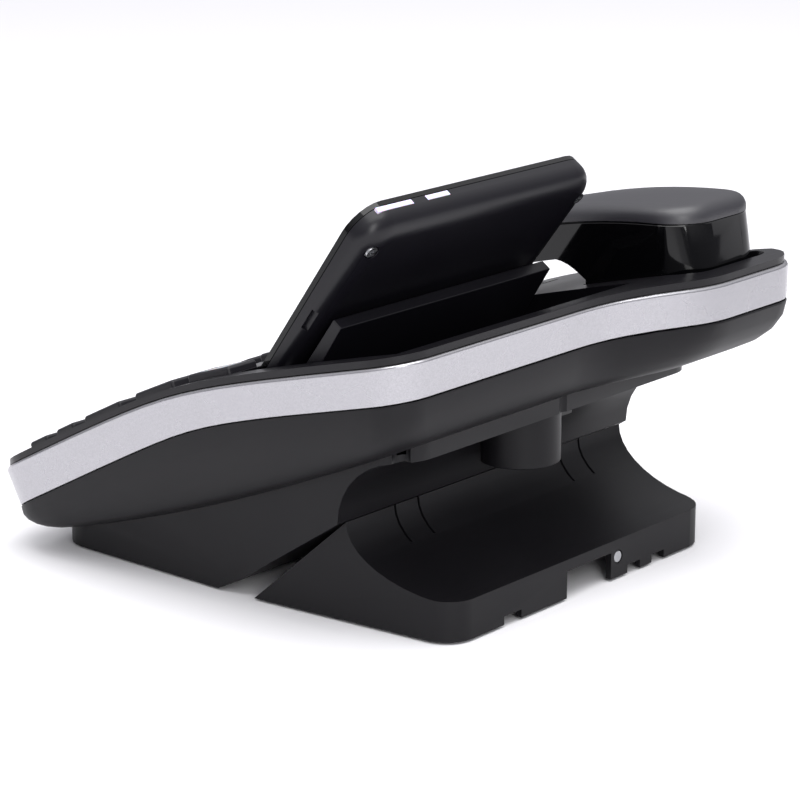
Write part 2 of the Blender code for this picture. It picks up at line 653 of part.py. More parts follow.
def well(name, kind, grow):
    body = prism_x(f"{name}_well_{kind}", well_profile(name, grow), WELL_X[0] - grow, WELL_X[1] + grow)
    plan = rectangle(WELL_X[0] - grow, WELL_X[1] + grow, WELLS["mouth"][0] - grow,
                     WELLS["ear"][1] + grow, WELL_RADIUS + grow)
    return keep_inside(body, prism_z(f"{name}_well_{kind}_plan", plan, 0.0, BODY_WIDTH))


def top_deck():
    wall = 2 * mm
    deck = slab("top_deck", GAP, GAP + DECK_THICK, FRONT_Y - 2 * mm, REAR_Y + 2 * mm, "deck_plastic")
    keep_inside(deck, prism_z("deck_plan", inset(plan_outline(), DECK_INSET), 0.0, BODY_WIDTH))
    add(deck, prism_x("tray_form", tray_profile(wall), TRAY_X[0] - wall, TRAY_X[1] + wall))
    for name in WELLS:
        add(deck, well(name, "form", WELL_WALL))
    tray = prism_x("tray_hollow", tray_profile(0.0), *TRAY_X)
    for side, x in zip((1, -1), TRAY_X):
        ear = box(f"hinge_ear_{side}", (5.2 * mm, 9 * mm, 18 * mm),
                  (x, HINGE_Y, HINGE_Z + 3.5 * mm - 9 * mm))
        cut(tray, ear)
    cut(deck, tray)
    for name in WELLS:
        cut(deck, well(name, "hollow", 0.0))
    cut(deck, cylinder("hinge_bore", HINGE_PIN_RADIUS + RUNNING, DISPLAY_WIDTH + 2 * TRAY_MARGIN + 3.4 * mm,
                       (DISPLAY_X, HINGE_Y, HINGE_Z), "X"))
    for name, size, x, y in KEYS:
        place = deck_point(x, y)
        cut(deck, box(f"{name}_hole", (size[0] + 2 * KEY_CLEARANCE, size[1] + 2 * KEY_CLEARANCE, 16 * mm),
                      place, turn=math.atan(deck_slope(y))))
    for n in range(6):
        y = GRILLE_Y + (n - 2.5) * 6 * mm
        cut(deck, box(f"grille_slot_{n}", (26 * mm, 2.2 * mm, 16 * mm), deck_point(HANDSET_X, y),
                      turn=math.atan(deck_slope(y))))
    for n, x in enumerate(CONTACT_X):
        slot = (CONTACT_SIZE[0] + 2 * GAP, CONTACT_SIZE[1] + 2 * GAP, 12 * mm)
        cut(deck, box(f"contact_slot_{n}", slot, contact_point(x, 0.0), turn=CONTACT_TURN))
    return deck


CONTACT_X = (HANDSET_X - 9 * mm, HANDSET_X + 9 * mm)
CONTACT_Y = sum(WELLS["mouth"]) / 2
CONTACT_TURN = math.atan(deck_slope(CONTACT_Y))
CONTACT_SIZE = (4 * mm, 8 * mm, 3.2 * mm)
CONTACT_PROUD = 0.9 * mm            # above the mouthpiece well's floor
PAD_THICK = 1.0 * mm


def contact_point(x, above):
    """Point over the mouthpiece well's floor at the charge contacts, square to the floor."""
    floor = deck_z(CONTACT_Y) + DECK_THICK + GAP - WELL_DEPTH
    return Vector((x, CONTACT_Y - above * math.sin(CONTACT_TURN), floor + above * math.cos(CONTACT_TURN)))


def key_list():
    """Every key as (name, (width, length), x, y)."""
    keys = []
    names = (("1", "2", "3"), ("4", "5", "6"), ("7", "8", "9"), ("star", "0", "pound"))
    for row, labels in enumerate(names):
        for column, label in enumerate(labels):
            keys.append((f"dial_key_{label}", DIAL_KEY, DIAL_CENTRE[0] + (column - 1) * DIAL_PITCH[0],
                         DIAL_CENTRE[1] + (1.5 - row) * DIAL_PITCH[1]))
    for n in range(3):
        keys.append((f"line_key_{n + 1}", LONG_KEY, SIDE_KEY_X, LAST_LONG_KEY_Y - n * LONG_PITCH))
    front = LAST_LONG_KEY_Y - 2 * LONG_PITCH - LONG_KEY[1] / 2
    keys.append(("hold_key", SHORT_KEY, SIDE_KEY_X, front - 9.5 * mm))
    keys.append(("speaker_key", SHORT_KEY, SIDE_KEY_X, front - 24.5 * mm))
    keys.append(("navigation_key", NAVIGATION_KEY, DIAL_CENTRE[0] + 22 * mm, LAST_LONG_KEY_Y - 5.5 * mm))
    keys.append(("volume_key", VOLUME_KEY, DIAL_CENTRE[0] - 51 * mm, DIAL_CENTRE[1] + 20 * mm))
    return keys


KEYS = key_list()


def keypad():
    for name, size, x, y in KEYS:
        angle = math.atan(deck_slope(y))
        middle = (KEY_PROUD - KEY_DEEP) / 2
        key = box(name, (size[0], size[1], KEY_PROUD + KEY_DEEP), deck_point(x, y, middle),
                  "key_plastic", bevel=0.8 * mm, turn=angle)
        if name.startswith("line_key"):
            seat = deck_point(x, y, KEY_PROUD - 0.6 * mm)
            inlay = (size[0] - 4 * mm, size[1] - 10 * mm)
            cut(key, box(name + "_seat", (inlay[0] + 2 * GAP, inlay[1] + 2 * GAP, 1.2 * mm + 2 * GAP),
                         seat, turn=angle))
            box(name.replace("key", "insert"), (*inlay, 1.2 * mm), seat, "key_insert", turn=angle)
    top = DECK_THICK + GAP - (KEY_DEEP + KEY_TRAVEL + 1.5 * mm)
    slab("keypad_mat", top - MAT_THICK, top, FRONT_Y + 12 * mm, TRAY_Y[0] - 4 * mm, "rubber",
         WELL_X[1] + 9.8 * mm, HALF_WIDTH - 8 * mm)
    board_low = top - MAT_THICK - GAP
    y0, y1 = FRONT_Y + 32 * mm, TRAY_Y[0] - 8 * mm
    tilt = math.atan2(deck_z(y1) - deck_z(y0), y1 - y0)
    width = HALF_WIDTH - WELL_X[1] - 30 * mm
    box("main_board", (width, (y1 - y0) / math.cos(tilt), 1.6 * mm),
        ((HALF_WIDTH + WELL_X[1]) / 2, (y0 + y1) / 2, (deck_z(y0) + deck_z(y1)) / 2 + board_low - 4 * mm),
        "board", turn=tilt)


def loudspeaker():
    radius, depth = 19 * mm, 9 * mm
    profile = [(0, 0.5 * mm), (6 * mm, -2 * mm), (15.5 * mm, -0.2 * mm), (16 * mm, 1.5 * mm),
               (radius, 1.5 * mm), (radius, -1.5 * mm), (13 * mm, -depth + 3 * mm),
               (10 * mm, -depth + 2.5 * mm), (10 * mm, -depth), (0, -depth)]
    speaker = turned("loudspeaker", profile, "paper_cone")
    speaker.location = deck_point(HANDSET_X, GRILLE_Y, -DECK_THICK - 5 * mm)
    speaker.rotation_euler.x = math.atan(deck_slope(GRILLE_Y))


def charge_contacts():
    for side, x in zip(("left", "right"), CONTACT_X):
        box(f"charge_contact_{side}", CONTACT_SIZE, contact_point(x, CONTACT_PROUD - CONTACT_SIZE[2] / 2),
            "gold", turn=CONTACT_TURN)


# ---------------------------------------------------------------- display
def cover_back(v):
    """Back face of the display cover, in front of the hinge axis, at height v along the panel."""
    share = (v + DISPLAY_BELOW_HINGE) / DISPLAY_HEIGHT
    return COVER_BACK[0] + (COVER_BACK[1] - COVER_BACK[0]) * share


def display():
    """Built lying flat: X across, Y up the panel, Z out of the screen, from the hinge axis."""
    pivot = bpy.data.objects.new("display_hinge", None)
    PARTS.objects.link(pivot)
    pivot.location = (DISPLAY_X, HINGE_Y, HINGE_Z)
    pivot.rotation_euler.x = DISPLAY_TILT
    half = DISPLAY_WIDTH / 2
    low, high = -DISPLAY_BELOW_HINGE, DISPLAY_HEIGHT - DISPLAY_BELOW_HINGE
    middle = (low + high) / 2
    panel = [(-half, low, 4 * mm), (half, low, 4 * mm), (half, high, DISPLAY_RADIUS),
             (-half, high, DISPLAY_RADIUS)]
    face = FACE_OFFSET
    window = rectangle(-WINDOW_SIZE[0] / 2, WINDOW_SIZE[0] / 2, middle - WINDOW_SIZE[1] / 2,
                       middle + WINDOW_SIZE[1] / 2, 2 * mm)
    pieces = [prism_z("display_bezel", rounded(panel), face - BEZEL_THICK, face, "gloss_black", window)]
    pieces.append(prism_z("display_window", inset(window, GAP), face - BEZEL_THICK, face - 0.4 * mm,
                          "clear_window"))
    back = face - BEZEL_THICK - GAP
    lcd = (WINDOW_SIZE[0] - 4 * mm, WINDOW_SIZE[1] - 4 * mm, 3 * mm)
    pieces.append(box("lcd_panel", lcd, (0, middle, back - lcd[2] / 2), "lcd_glass"))

    cover = prism_x("display_rear_cover", [(low, cover_back(low)), (high, cover_back(high)),
                                           (high, back), (low, back)], -half, half, "black_plastic")
    shape = prism_z("cover_plan", rounded(panel), -face, face * 2)
    hollow = prism_z("cover_hollow", inset(rounded(panel), WALL), cover_back(low) + 1.8 * mm, face * 2)
    keep_inside(cover, shape)
    cut(cover, hollow)
    slot = box("side_slot", (3 * mm, 9 * mm, 2.4 * mm), (half, 29.5 * mm, 8.6 * mm))
    holders = [shape, hollow, slot]
    cut(cover, slot)
    for name, x, width in (("message_light", half - 22.9 * mm, 22 * mm), ("in_use_light", half - 48.4 * mm, 13 * mm)):
        centre = (x, high - 1.2 * mm, back - 3.4 * mm)
        seat = box(name + "_seat", (width + 2 * GAP, 8 * mm, 2.6 * mm + 2 * GAP), centre)
        cut(cover, seat)
        holders.append(seat)
        pieces.append(box(name, (width, 3.2 * mm, 2.6 * mm),
                          (x, high - 1.5 * mm, back - 3.4 * mm), "light_pipe"))
    for side, x in (("right", half - 9.9 * mm), ("left", 9.9 * mm - half)):
        place = (x, high - 13 * mm, cover_back(high - 13 * mm))
        well = cylinder(f"cover_screw_well_{side}", 3.0 * mm, 2.4 * mm, place)
        cut(cover, well)
        holders.append(well)
        pieces.append(cylinder(f"display_screw_{side}", 2.6 * mm, 0.7 * mm,
                               (x, place[1], place[2] + 0.55 * mm), "Z", "steel", 16))
    pieces.append(cover)

    inner_face = 3.0 * mm
    barrel = [(-3.2 * mm * math.sin(t), 3.2 * mm * math.cos(t)) for t in spread(0.0, math.pi, 8)]
    block = [(HOUSING_HEIGHT, -1.6 * mm), (HOUSING_HEIGHT, inner_face)] + barrel
    reach = HOUSING_WIDTH / 2
    housing = prism_x("hinge_housing", block, -reach, reach, "black_plastic")
    pad = prism_x("housing_pad", [(5 * mm, inner_face - 1 * mm), (HOUSING_HEIGHT - 4 * mm, inner_face - 1 * mm),
                                  (HOUSING_HEIGHT - 4 * mm, cover_back(HOUSING_HEIGHT - 4 * mm) - GAP),
                                  (5 * mm, cover_back(5 * mm) - GAP)], -reach + 8 * mm, reach - 8 * mm)
    add(housing, pad)
    pieces.append(housing)
    holders.append(pad)
    pin_length = TRAY_MARGIN + (DISPLAY_WIDTH - HOUSING_WIDTH) / 2 + 6 * mm
    for side, sign in (("right", 1), ("left", -1)):
        end = sign * (half + TRAY_MARGIN)
        bore = cylinder(f"housing_bore_{side}", HINGE_PIN_RADIUS + GAP, 14 * mm, (sign * reach, 0, 0), "X")
        cut(housing, bore)
        holders.append(bore)
        pieces.append(cylinder(f"hinge_pin_{side}", HINGE_PIN_RADIUS, pin_length,
                               (end + sign * 1.0 * mm - sign * pin_length / 2, 0, 0), "X", "steel", 20))
    for piece in pieces + holders:
        piece.parent = pivot


# ---------------------------------------------------------------- handset
def crown_circle():
    """Centre (y, z) and radius of the arc along the handset's back."""
    (front_in, front_up), (rear_in, rear_up) = CROWN_POINTS
    front, rear = HANDSET_Y[0] + front_in, HANDSET_Y[1] - rear_in
    first = Vector((front, deck_z(front) + front_up))
    last = Vector((rear, deck_z(rear) + rear_up))
    chord = last - first
    radius = (chord.length ** 2 / 4 + CROWN_SAG ** 2) / (2 * CROWN_SAG)
    outwards = Vector((-chord.y, chord.x)).normalized()
    return (first + last) / 2 + outwards * (CROWN_SAG - radius), radius


def crown_z(y, depth=0.0):
    """Height of the arc that lies `depth` under the handset's back."""
    centre, radius = crown_circle()
    return centre.y + math.sqrt((radius - depth) ** 2 - (y - centre.x) ** 2)


def cup_z(y):
    return deck_z(y) + DECK_THICK + 2 * GAP - WELL_DEPTH


def underside_profile(depth, shrink=0.0):
    """Handset below the arc `depth` under its back, as (y, z): cups at both ends, arch between."""
    front, rear = HANDSET_Y[0] + shrink, HANDSET_Y[1] - shrink
    mouth, ear = CUP_FRONT_REAR_Y - shrink, CUP_REAR_FRONT_Y + shrink
    grip = GRIP_DEPTH - shrink
    upright = WELL_DEPTH + 1 * mm
    points = [(front + MOUTH_LEAN, cup_z(front + MOUTH_LEAN) + shrink), (mouth, cup_z(mouth) + shrink),
              (mouth, cup_z(mouth) + upright)]
    points += [(y, crown_z(y, grip)) for y in spread(mouth + 10 * mm, ear - 15 * mm, 10)]
    outside = rear + 1 * mm
    points.append((ear, cup_z(ear) + upright))
    points += [(y, cup_z(y) + shrink) for y in spread(ear, outside, 8)]
    points.append((outside, cup_z(outside) + upright))
    points += [(y, crown_z(y, depth)) for y in spread(rear - EAR_LEAN, front, 14)]
    return points


def handset():
    x0, x1 = HANDSET_X - HANDSET_WIDTH / 2, HANDSET_X + HANDSET_WIDTH / 2
    plan = rectangle(x0, x1, HANDSET_Y[0], HANDSET_Y[1], HANDSET_RADIUS)
    form = prism_x("handset_form", underside_profile(0.0), x0, x1)
    keep_inside(form, prism_z("handset_plan", plan, 0.0, BODY_WIDTH))
    above = [(y, crown_z(y, SHELL_DEPTH)) for y in spread(HANDSET_Y[0] - 3 * mm, HANDSET_Y[1] + 3 * mm, 14)]
    roof = [(HANDSET_Y[1] + 3 * mm, 170 * mm), (HANDSET_Y[0] - 3 * mm, 170 * mm)]
    shell = prism_x("handset_shell", above + roof, x0 - WALL, x1 + WALL, "black_plastic")
    keep_inside(shell, form)
    below = [(y, z - GAP) for y, z in above]
    floor = [(HANDSET_Y[1] + 3 * mm, 0.0), (HANDSET_Y[0] - 3 * mm, 0.0)]
    inner = prism_x("handset_inner", floor[::-1] + below[::-1], x0 - WALL, x1 + WALL, "gloss_black")
    keep_inside(inner, form)

    wall = HANDSET_WALL
    plan_inner = inset(plan, wall)
    shell_hollow = prism_x("shell_hollow", [(y, z - 6 * mm) for y, z in above]
                           + [(y, crown_z(y, wall)) for y, z in reversed(above)], x0, x1)
    keep_inside(shell_hollow, prism_z("shell_hollow_plan", inset(plan, wall + 1 * mm), 0.0, BODY_WIDTH))
    cut(shell, shell_hollow)
    inner_hollow = prism_x("inner_hollow", underside_profile(0.0, wall), x0, x1)
    keep_inside(inner_hollow, prism_z("inner_hollow_plan", plan_inner, 0.0, BODY_WIDTH))
    cut(inner, inner_hollow)
    pad = (CONTACT_SIZE[0] + 1 * mm, CONTACT_SIZE[1] + 1 * mm, PAD_THICK)
    seat = (pad[0] + 2 * GAP, pad[1] + 2 * GAP, 12 * mm)
    for side, x in zip(("left", "right"), CONTACT_X):
        cut(inner, box(f"pad_seat_{side}", seat, contact_point(x, 0.0), turn=CONTACT_TURN))
        box(f"charge_pad_{side}", pad, contact_point(x, CONTACT_PROUD + GAP + PAD_THICK / 2), "gold",
            turn=CONTACT_TURN)


def handset_inside():
    centre, radius = crown_circle()
    ear_y = (CUP_REAR_FRONT_Y + HANDSET_Y[1]) / 2
    ear = cylinder("earpiece_speaker", 15 * mm, 7 * mm, (HANDSET_X, ear_y, cup_z(ear_y) + 9 * mm), "Z",
                   "paper_cone", 28)
    ear.rotation_euler.x = math.atan(deck_slope(ear_y))
    mouth_y = HANDSET_Y[0] + 19 * mm
    mic = cylinder("microphone", 3 * mm, 4 * mm, (HANDSET_X, mouth_y, cup_z(mouth_y) + 6.5 * mm), "Z",
                   "steel", 16)
    mic.rotation_euler.x = math.atan(deck_slope(mouth_y))
    for name, y, depth, size, look in (
            ("handset_board", CUP_REAR_FRONT_Y - 27 * mm, 7.5 * mm, (HANDSET_WIDTH - 16 * mm, 76 * mm, 1.4 * mm),
             "board"),
            ("battery_pack", CUP_FRONT_REAR_Y + 32 * mm, 10.5 * mm,
             (HANDSET_WIDTH - 18 * mm, 44 * mm, 9.5 * mm), "battery_wrap")):
        angle = math.asin((centre.x - y) / (radius - depth))
        box(name, size, (HANDSET_X, y, crown_z(y, depth)), look, turn=angle)


clear_scene()
PARTS = collection("desk_telephone")
CUTTERS = collection("cutters")
lower_housing()
silver_band()
top_deck()
jacks_and_turret()
desk_stand()
feet()
housing_screws()
keypad()
loudspeaker()
charge_contacts()
display()
handset()
handset_inside()
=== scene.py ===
"""Cordless desk telephone: finished surfaces, keycaps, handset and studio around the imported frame.

Metres, +Z up. The user sits at -Y and the handset lies at -X."""
import json
import math

import bmesh
import bpy
from mathutils import Matrix, Vector

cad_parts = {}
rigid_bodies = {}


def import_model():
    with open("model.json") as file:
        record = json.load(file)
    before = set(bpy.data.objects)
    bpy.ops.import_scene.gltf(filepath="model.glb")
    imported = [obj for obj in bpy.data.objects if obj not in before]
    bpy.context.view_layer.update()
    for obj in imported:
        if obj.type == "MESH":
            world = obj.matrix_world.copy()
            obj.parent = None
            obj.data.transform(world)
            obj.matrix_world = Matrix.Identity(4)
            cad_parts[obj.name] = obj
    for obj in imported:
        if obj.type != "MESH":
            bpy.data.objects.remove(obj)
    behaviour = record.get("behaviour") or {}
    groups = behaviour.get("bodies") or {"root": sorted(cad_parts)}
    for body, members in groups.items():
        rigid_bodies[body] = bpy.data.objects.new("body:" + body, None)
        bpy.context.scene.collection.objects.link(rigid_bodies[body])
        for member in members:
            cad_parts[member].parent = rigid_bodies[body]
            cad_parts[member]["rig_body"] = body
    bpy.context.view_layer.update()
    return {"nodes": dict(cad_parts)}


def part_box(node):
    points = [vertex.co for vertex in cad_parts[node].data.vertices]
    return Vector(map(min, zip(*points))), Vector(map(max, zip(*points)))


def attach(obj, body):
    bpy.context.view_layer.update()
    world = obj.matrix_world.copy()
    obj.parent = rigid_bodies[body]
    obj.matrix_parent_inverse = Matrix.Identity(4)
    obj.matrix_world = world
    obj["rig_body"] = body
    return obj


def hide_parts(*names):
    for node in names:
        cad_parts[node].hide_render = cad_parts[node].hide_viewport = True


bl_info = {
    "name": "Desk Telephone",
    "version": (1, 0, 0),
    "blender": (4, 5, 0),
    "location": "3D View > Sidebar > Telephone",
    "description": "Finishes a cordless desk telephone around its mechanical frame",
    "category": "Object",
}

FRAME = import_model()
NODES = FRAME["nodes"]
MM = 0.001


def linear(code):
    """Linear RGB of an sRGB hex colour."""
    channels = [int(code[start:start + 2], 16) / 255 for start in (0, 2, 4)]
    return [c / 12.92 if c <= 0.04045 else ((c + 0.055) / 1.055) ** 2.4 for c in channels]


def size(name, description, millimetres):
    return bpy.props.FloatProperty(name=name, description=description, default=millimetres * MM,
                                   unit="LENGTH", subtype="DISTANCE", precision=5)


def colour(name, description, code):
    return bpy.props.FloatVectorProperty(name=name, description=description, default=linear(code),
                                         subtype="COLOR", min=0.0, max=1.0)


class PhoneSizes(bpy.types.PropertyGroup):
    """Sizes of the finished surfaces."""

    housing_edge: size("Housing edge", "Rounding along the housing's and stand's edges", 0.7)
    deck_edge: size("Deck edge", "Rounding along the deck's rim and openings", 0.5)
    band_edge: size("Band edge", "Rounding along the silver band's edges", 0.45)
    cover_shoulder: size("Cover shoulder", "Soft shoulder round the back of the display", 9.0)
    cover_lip: size("Cover lip", "Straight lip of the display's cover beside the bezel", 2.6)
    bezel_edge: size("Bezel edge", "Rounding along the screen's frame", 0.5)
    block_edge: size("Hinge block edge", "Rounding along the display's hinge block", 0.9)
    key_edge: size("Key edge", "Rounding round each keycap", 0.7)
    handset_crown: size("Handset crown", "Radius between the handset's back and its sides", 6.0)
    handset_dome: size("Handset dome", "Rise of the handset's back across its width", 1.6)
    handset_seam: size("Handset seam", "Groove between the handset's back and its glossy body", 0.45)
    legend_height: size("Legend height", "Height of the figures on the dial keys", 6.2)
    floor_size: size("Floor size", "Side of the floor", 9000.0)


class PhoneColours(bpy.types.PropertyGroup):
    """Colours of the finishes."""

    housing: colour("Housing", "Textured moulding of the housing and the stand", "0C0B0E")
    deck: colour("Deck", "Satin moulding of the deck", "0D0C10")
    cover: colour("Display cover", "Satin moulding of the display and the handset's back", "100F14")
    back: colour("Handset back", "Matt moulding of the handset's back", "1D1C22")
    gloss: colour("Gloss black", "Polished moulding of the handset's body and the bezel", "040405")
    silver: colour("Silver", "Metallic paint of the band", "B2B1B5")
    keycap: colour("Keycap", "Moulded keycaps", "151419")
    insert: colour("Key insert", "Light strip set in the long keys", "A9A8AE")
    legend: colour("Legend", "Ink of the figures", "D6D6DA")
    light_pipe: colour("Light pipe", "Milky strips on top of the display", "D9D3EA")
    rubber: colour("Rubber", "Feet and keypad mat", "0D0D0D")
    floor: colour("Floor", "Studio floor", "F4F3F5")


def sizes():
    return bpy.context.scene.phone_sizes


def colours():
    return bpy.context.scene.phone_colours


# ---------------------------------------------------------------- materials
def add_node(tree, kind, inputs=(), **settings):
    """Adds a shader node; inputs maps a socket's name or number to a value or to another socket."""
    made = tree.nodes.new(kind)
    for name, value in settings.items():
        setattr(made, name, value)
    for name, value in dict(inputs).items():
        if isinstance(value, bpy.types.NodeSocket):
            tree.links.new(value, made.inputs[name])
        else:
            made.inputs[name].default_value = value
    return made


def blank(name):
    """New material with one Principled shader; returns the material, its tree and the shader."""
    made = bpy.data.materials.new(name)
    made.use_nodes = True
    tree = made.node_tree
    shader = tree.nodes["Principled BSDF"]
    return made, tree, shader


def set_values(shader, **values):
    for name, value in values.items():
        socket = shader.inputs[name.replace("_", " ")]
        socket.default_value = (*value, 1.0) if name == "Base_Color" else value


def own_place(tree):
    """Coordinates in the object's own space, in metres."""
    return add_node(tree, "ShaderNodeTexCoord").outputs["Object"]


def noise(tree, feature, detail=2.0, roughness=0.5):
    """Noise whose features are about `feature` metres across, in the object's own space."""
    return add_node(tree, "ShaderNodeTexNoise",
                    {"Vector": own_place(tree), "Scale": 1 / feature, "Detail": detail,
                     "Roughness": roughness})


def vary_colour(tree, shader, base, darker, fac):
    """Mixes the base colour with a darker or lighter share of itself by a pattern."""
    other = [min(1.0, channel * darker) for channel in base]
    mix = add_node(tree, "ShaderNodeMix", {0: fac, 6: (*base, 1.0), 7: (*other, 1.0)}, data_type="RGBA")
    tree.links.new(mix.outputs[2], shader.inputs["Base Color"])


def vary_roughness(tree, shader, fac, low, high):
    span = add_node(tree, "ShaderNodeMapRange", {"Value": fac, "To Min": low, "To Max": high})
    tree.links.new(span.outputs["Result"], shader.inputs["Roughness"])


def bump(tree, shader, height, distance, strength=1.0):
    made = add_node(tree, "ShaderNodeBump",
                    {"Height": height, "Distance": distance, "Strength": strength})
    tree.links.new(made.outputs["Normal"], shader.inputs["Normal"])


def spark_eroded_abs(name, base):
    """ABS from a spark-eroded mould: the fine grain spreads each highlight into a soft grey sheen.
    Real grain is 0.2 mm; it is drawn at 0.5 mm so that it can be seen."""
    made, tree, shader = blank(name)
    set_values(shader, IOR=1.54, Specular_IOR_Level=0.2)
    grain = noise(tree, 0.5 * MM, 3.0, 0.6)
    drift = noise(tree, 38 * MM, 2.0)
    vary_colour(tree, shader, base, 1.35, drift.outputs["Fac"])
    vary_roughness(tree, shader, drift.outputs["Fac"], 0.40, 0.52)
    bump(tree, shader, grain.outputs["Fac"], 0.03 * MM, 0.55)
    return made


def satin_abs(name, base):
    """ABS from a fine-ground mould: smoother than the housing, so edges carry a clear soft line."""
    made, tree, shader = blank(name)
    set_values(shader, IOR=1.54, Specular_IOR_Level=0.28)
    grain = noise(tree, 0.8 * MM, 2.0, 0.5)
    drift = noise(tree, 30 * MM, 2.0)
    vary_colour(tree, shader, base, 1.25, drift.outputs["Fac"])
    vary_roughness(tree, shader, drift.outputs["Fac"], 0.30, 0.38)
    bump(tree, shader, grain.outputs["Fac"], 0.012 * MM, 0.5)
    return made


def matt_abs(name, base):
    """ABS from a finely blasted mould: matt, with a wide pale sheen where it faces the light."""
    made, tree, shader = blank(name)
    set_values(shader, IOR=1.54, Specular_IOR_Level=0.75)
    grain = noise(tree, 0.6 * MM, 3.0, 0.6)
    drift = noise(tree, 26 * MM, 2.0)
    vary_colour(tree, shader, base, 1.2, drift.outputs["Fac"])
    vary_roughness(tree, shader, drift.outputs["Fac"], 0.42, 0.50)
    bump(tree, shader, grain.outputs["Fac"], 0.02 * MM, 0.5)
    return made


def polished_abs(name, base):
    """ABS from a mirror-polished mould: sharp reflections, bent a little by shrinkage over 9 mm."""
    made, tree, shader = blank(name)
    set_values(shader, IOR=1.54, Specular_IOR_Level=0.3)
    wave = noise(tree, 9 * MM, 1.0)
    haze = noise(tree, 25 * MM, 3.0)
    vary_colour(tree, shader, base, 1.6, haze.outputs["Fac"])
    vary_roughness(tree, shader, haze.outputs["Fac"], 0.045, 0.09)
    bump(tree, shader, wave.outputs["Fac"], 0.02 * MM, 0.3)
    return made


def metallic_paint(name, base):
    """Silver base coat with aluminium flake, sprayed: a satin metal glow with a fine sparkle.
    Real flakes are 0.05 mm; they are drawn at 0.3 mm so that they can be seen."""
    made, tree, shader = blank(name)
    set_values(shader, Metallic=0.9)
    flake = add_node(tree, "ShaderNodeTexVoronoi", {"Vector": own_place(tree), "Scale": 1 / (0.3 * MM)})
    drift = noise(tree, 20 * MM, 2.0)
    tone = add_node(tree, "ShaderNodeSeparateColor", {"Color": flake.outputs["Color"]})
    vary_colour(tree, shader, base, 0.84, tone.outputs["Red"])
    vary_roughness(tree, shader, drift.outputs["Fac"], 0.24, 0.31)
    bump(tree, shader, tone.outputs["Green"], 0.012 * MM, 0.5)
    return made


def moulded_keycap(name, base):
    """Painted and lasered ABS keycap: satin, with a slight polish where fingers rub."""
    made, tree, shader = blank(name)
    set_values(shader, IOR=1.54, Specular_IOR_Level=0.3)
    rub = noise(tree, 7 * MM, 2.0)
    grain = noise(tree, 0.5 * MM, 2.0)
    vary_colour(tree, shader, base, 1.2, rub.outputs["Fac"])
    vary_roughness(tree, shader, rub.outputs["Fac"], 0.34, 0.48)
    bump(tree, shader, grain.outputs["Fac"], 0.012 * MM, 0.5)
    return made


def translucent_pc(name, base, rough):
    """Diffusing polycarbonate: light enters a little way, so its edges look soft and milky."""
    made, tree, shader = blank(name)
    set_values(shader, IOR=1.58, Roughness=rough, Subsurface_Weight=0.35, Subsurface_Scale=1.5 * MM)
    cloud = noise(tree, 5 * MM, 2.0)
    vary_colour(tree, shader, base, 0.9, cloud.outputs["Fac"])
    return made


def hard_coated_window(name):
    """Clear smoked polycarbonate with a hard coat: a sharp reflection over the darker screen."""
    made, tree, shader = blank(name)
    set_values(shader, IOR=1.58, Transmission_Weight=1.0, Coat_Weight=0.5, Coat_Roughness=0.02)
    smear = noise(tree, 18 * MM, 3.0)
    vary_colour(tree, shader, linear("B9BDC2"), 0.92, smear.outputs["Fac"])
    vary_roughness(tree, shader, smear.outputs["Fac"], 0.01, 0.04)
    return made


def lcd_glass(name):
    """Passive dot-matrix LCD, unlit: grey-green with a faint 0.6 mm cell grid under the glass."""
    made, tree, shader = blank(name)
    set_values(shader, IOR=1.5, Roughness=0.22)
    cells = add_node(tree, "ShaderNodeTexBrick",
                     {"Vector": own_place(tree), "Scale": 1 / (0.6 * MM),
                      "Color1": (*linear("8F9A8B"), 1.0),
                      "Color2": (*linear("8B9788"), 1.0), "Mortar": (*linear("7E8A7C"), 1.0),
                      "Mortar Size": 0.06, "Brick Width": 1.0, "Row Height": 1.0}, offset=0.0)
    tree.links.new(cells.outputs["Color"], shader.inputs["Base Color"])
    return made


def moulded_rubber(name, base):
    """Thermoplastic rubber, moulded: dull and dry, with a little lint in the surface."""
    made, tree, shader = blank(name)
    set_values(shader, IOR=1.5)
    lint = noise(tree, 1.2 * MM, 4.0, 0.7)
    vary_colour(tree, shader, base, 1.8, lint.outputs["Fac"])
    vary_roughness(tree, shader, lint.outputs["Fac"], 0.78, 0.95)
    bump(tree, shader, lint.outputs["Fac"], 0.04 * MM, 0.6)
    return made


def plated_metal(name, code, rough):
    """Plated turned part: bright, with rings from the tool at 0.3 mm."""
    made, tree, shader = blank(name)
    set_values(shader, Metallic=1.0)
    rings = add_node(tree, "ShaderNodeTexWave", {"Vector": own_place(tree), "Scale": 1 / (6 * MM),
                                                 "Distortion": 1.5}, wave_type="RINGS")
    stain = noise(tree, 2 * MM, 3.0)
    vary_colour(tree, shader, linear(code), 0.8, stain.outputs["Fac"])
    vary_roughness(tree, shader, rings.outputs["Fac"], rough, rough + 0.12)
    return made


def pulp_paper(name):
    """Pressed paper pulp: matt, with short fibres."""
    made, tree, shader = blank(name)
    set_values(shader, Roughness=0.95)
    fibre = noise(tree, 0.9 * MM, 5.0, 0.75)
    vary_colour(tree, shader, linear("1B1A19"), 1.9, fibre.outputs["Fac"])
    bump(tree, shader, fibre.outputs["Fac"], 0.08 * MM, 0.8)
    return made


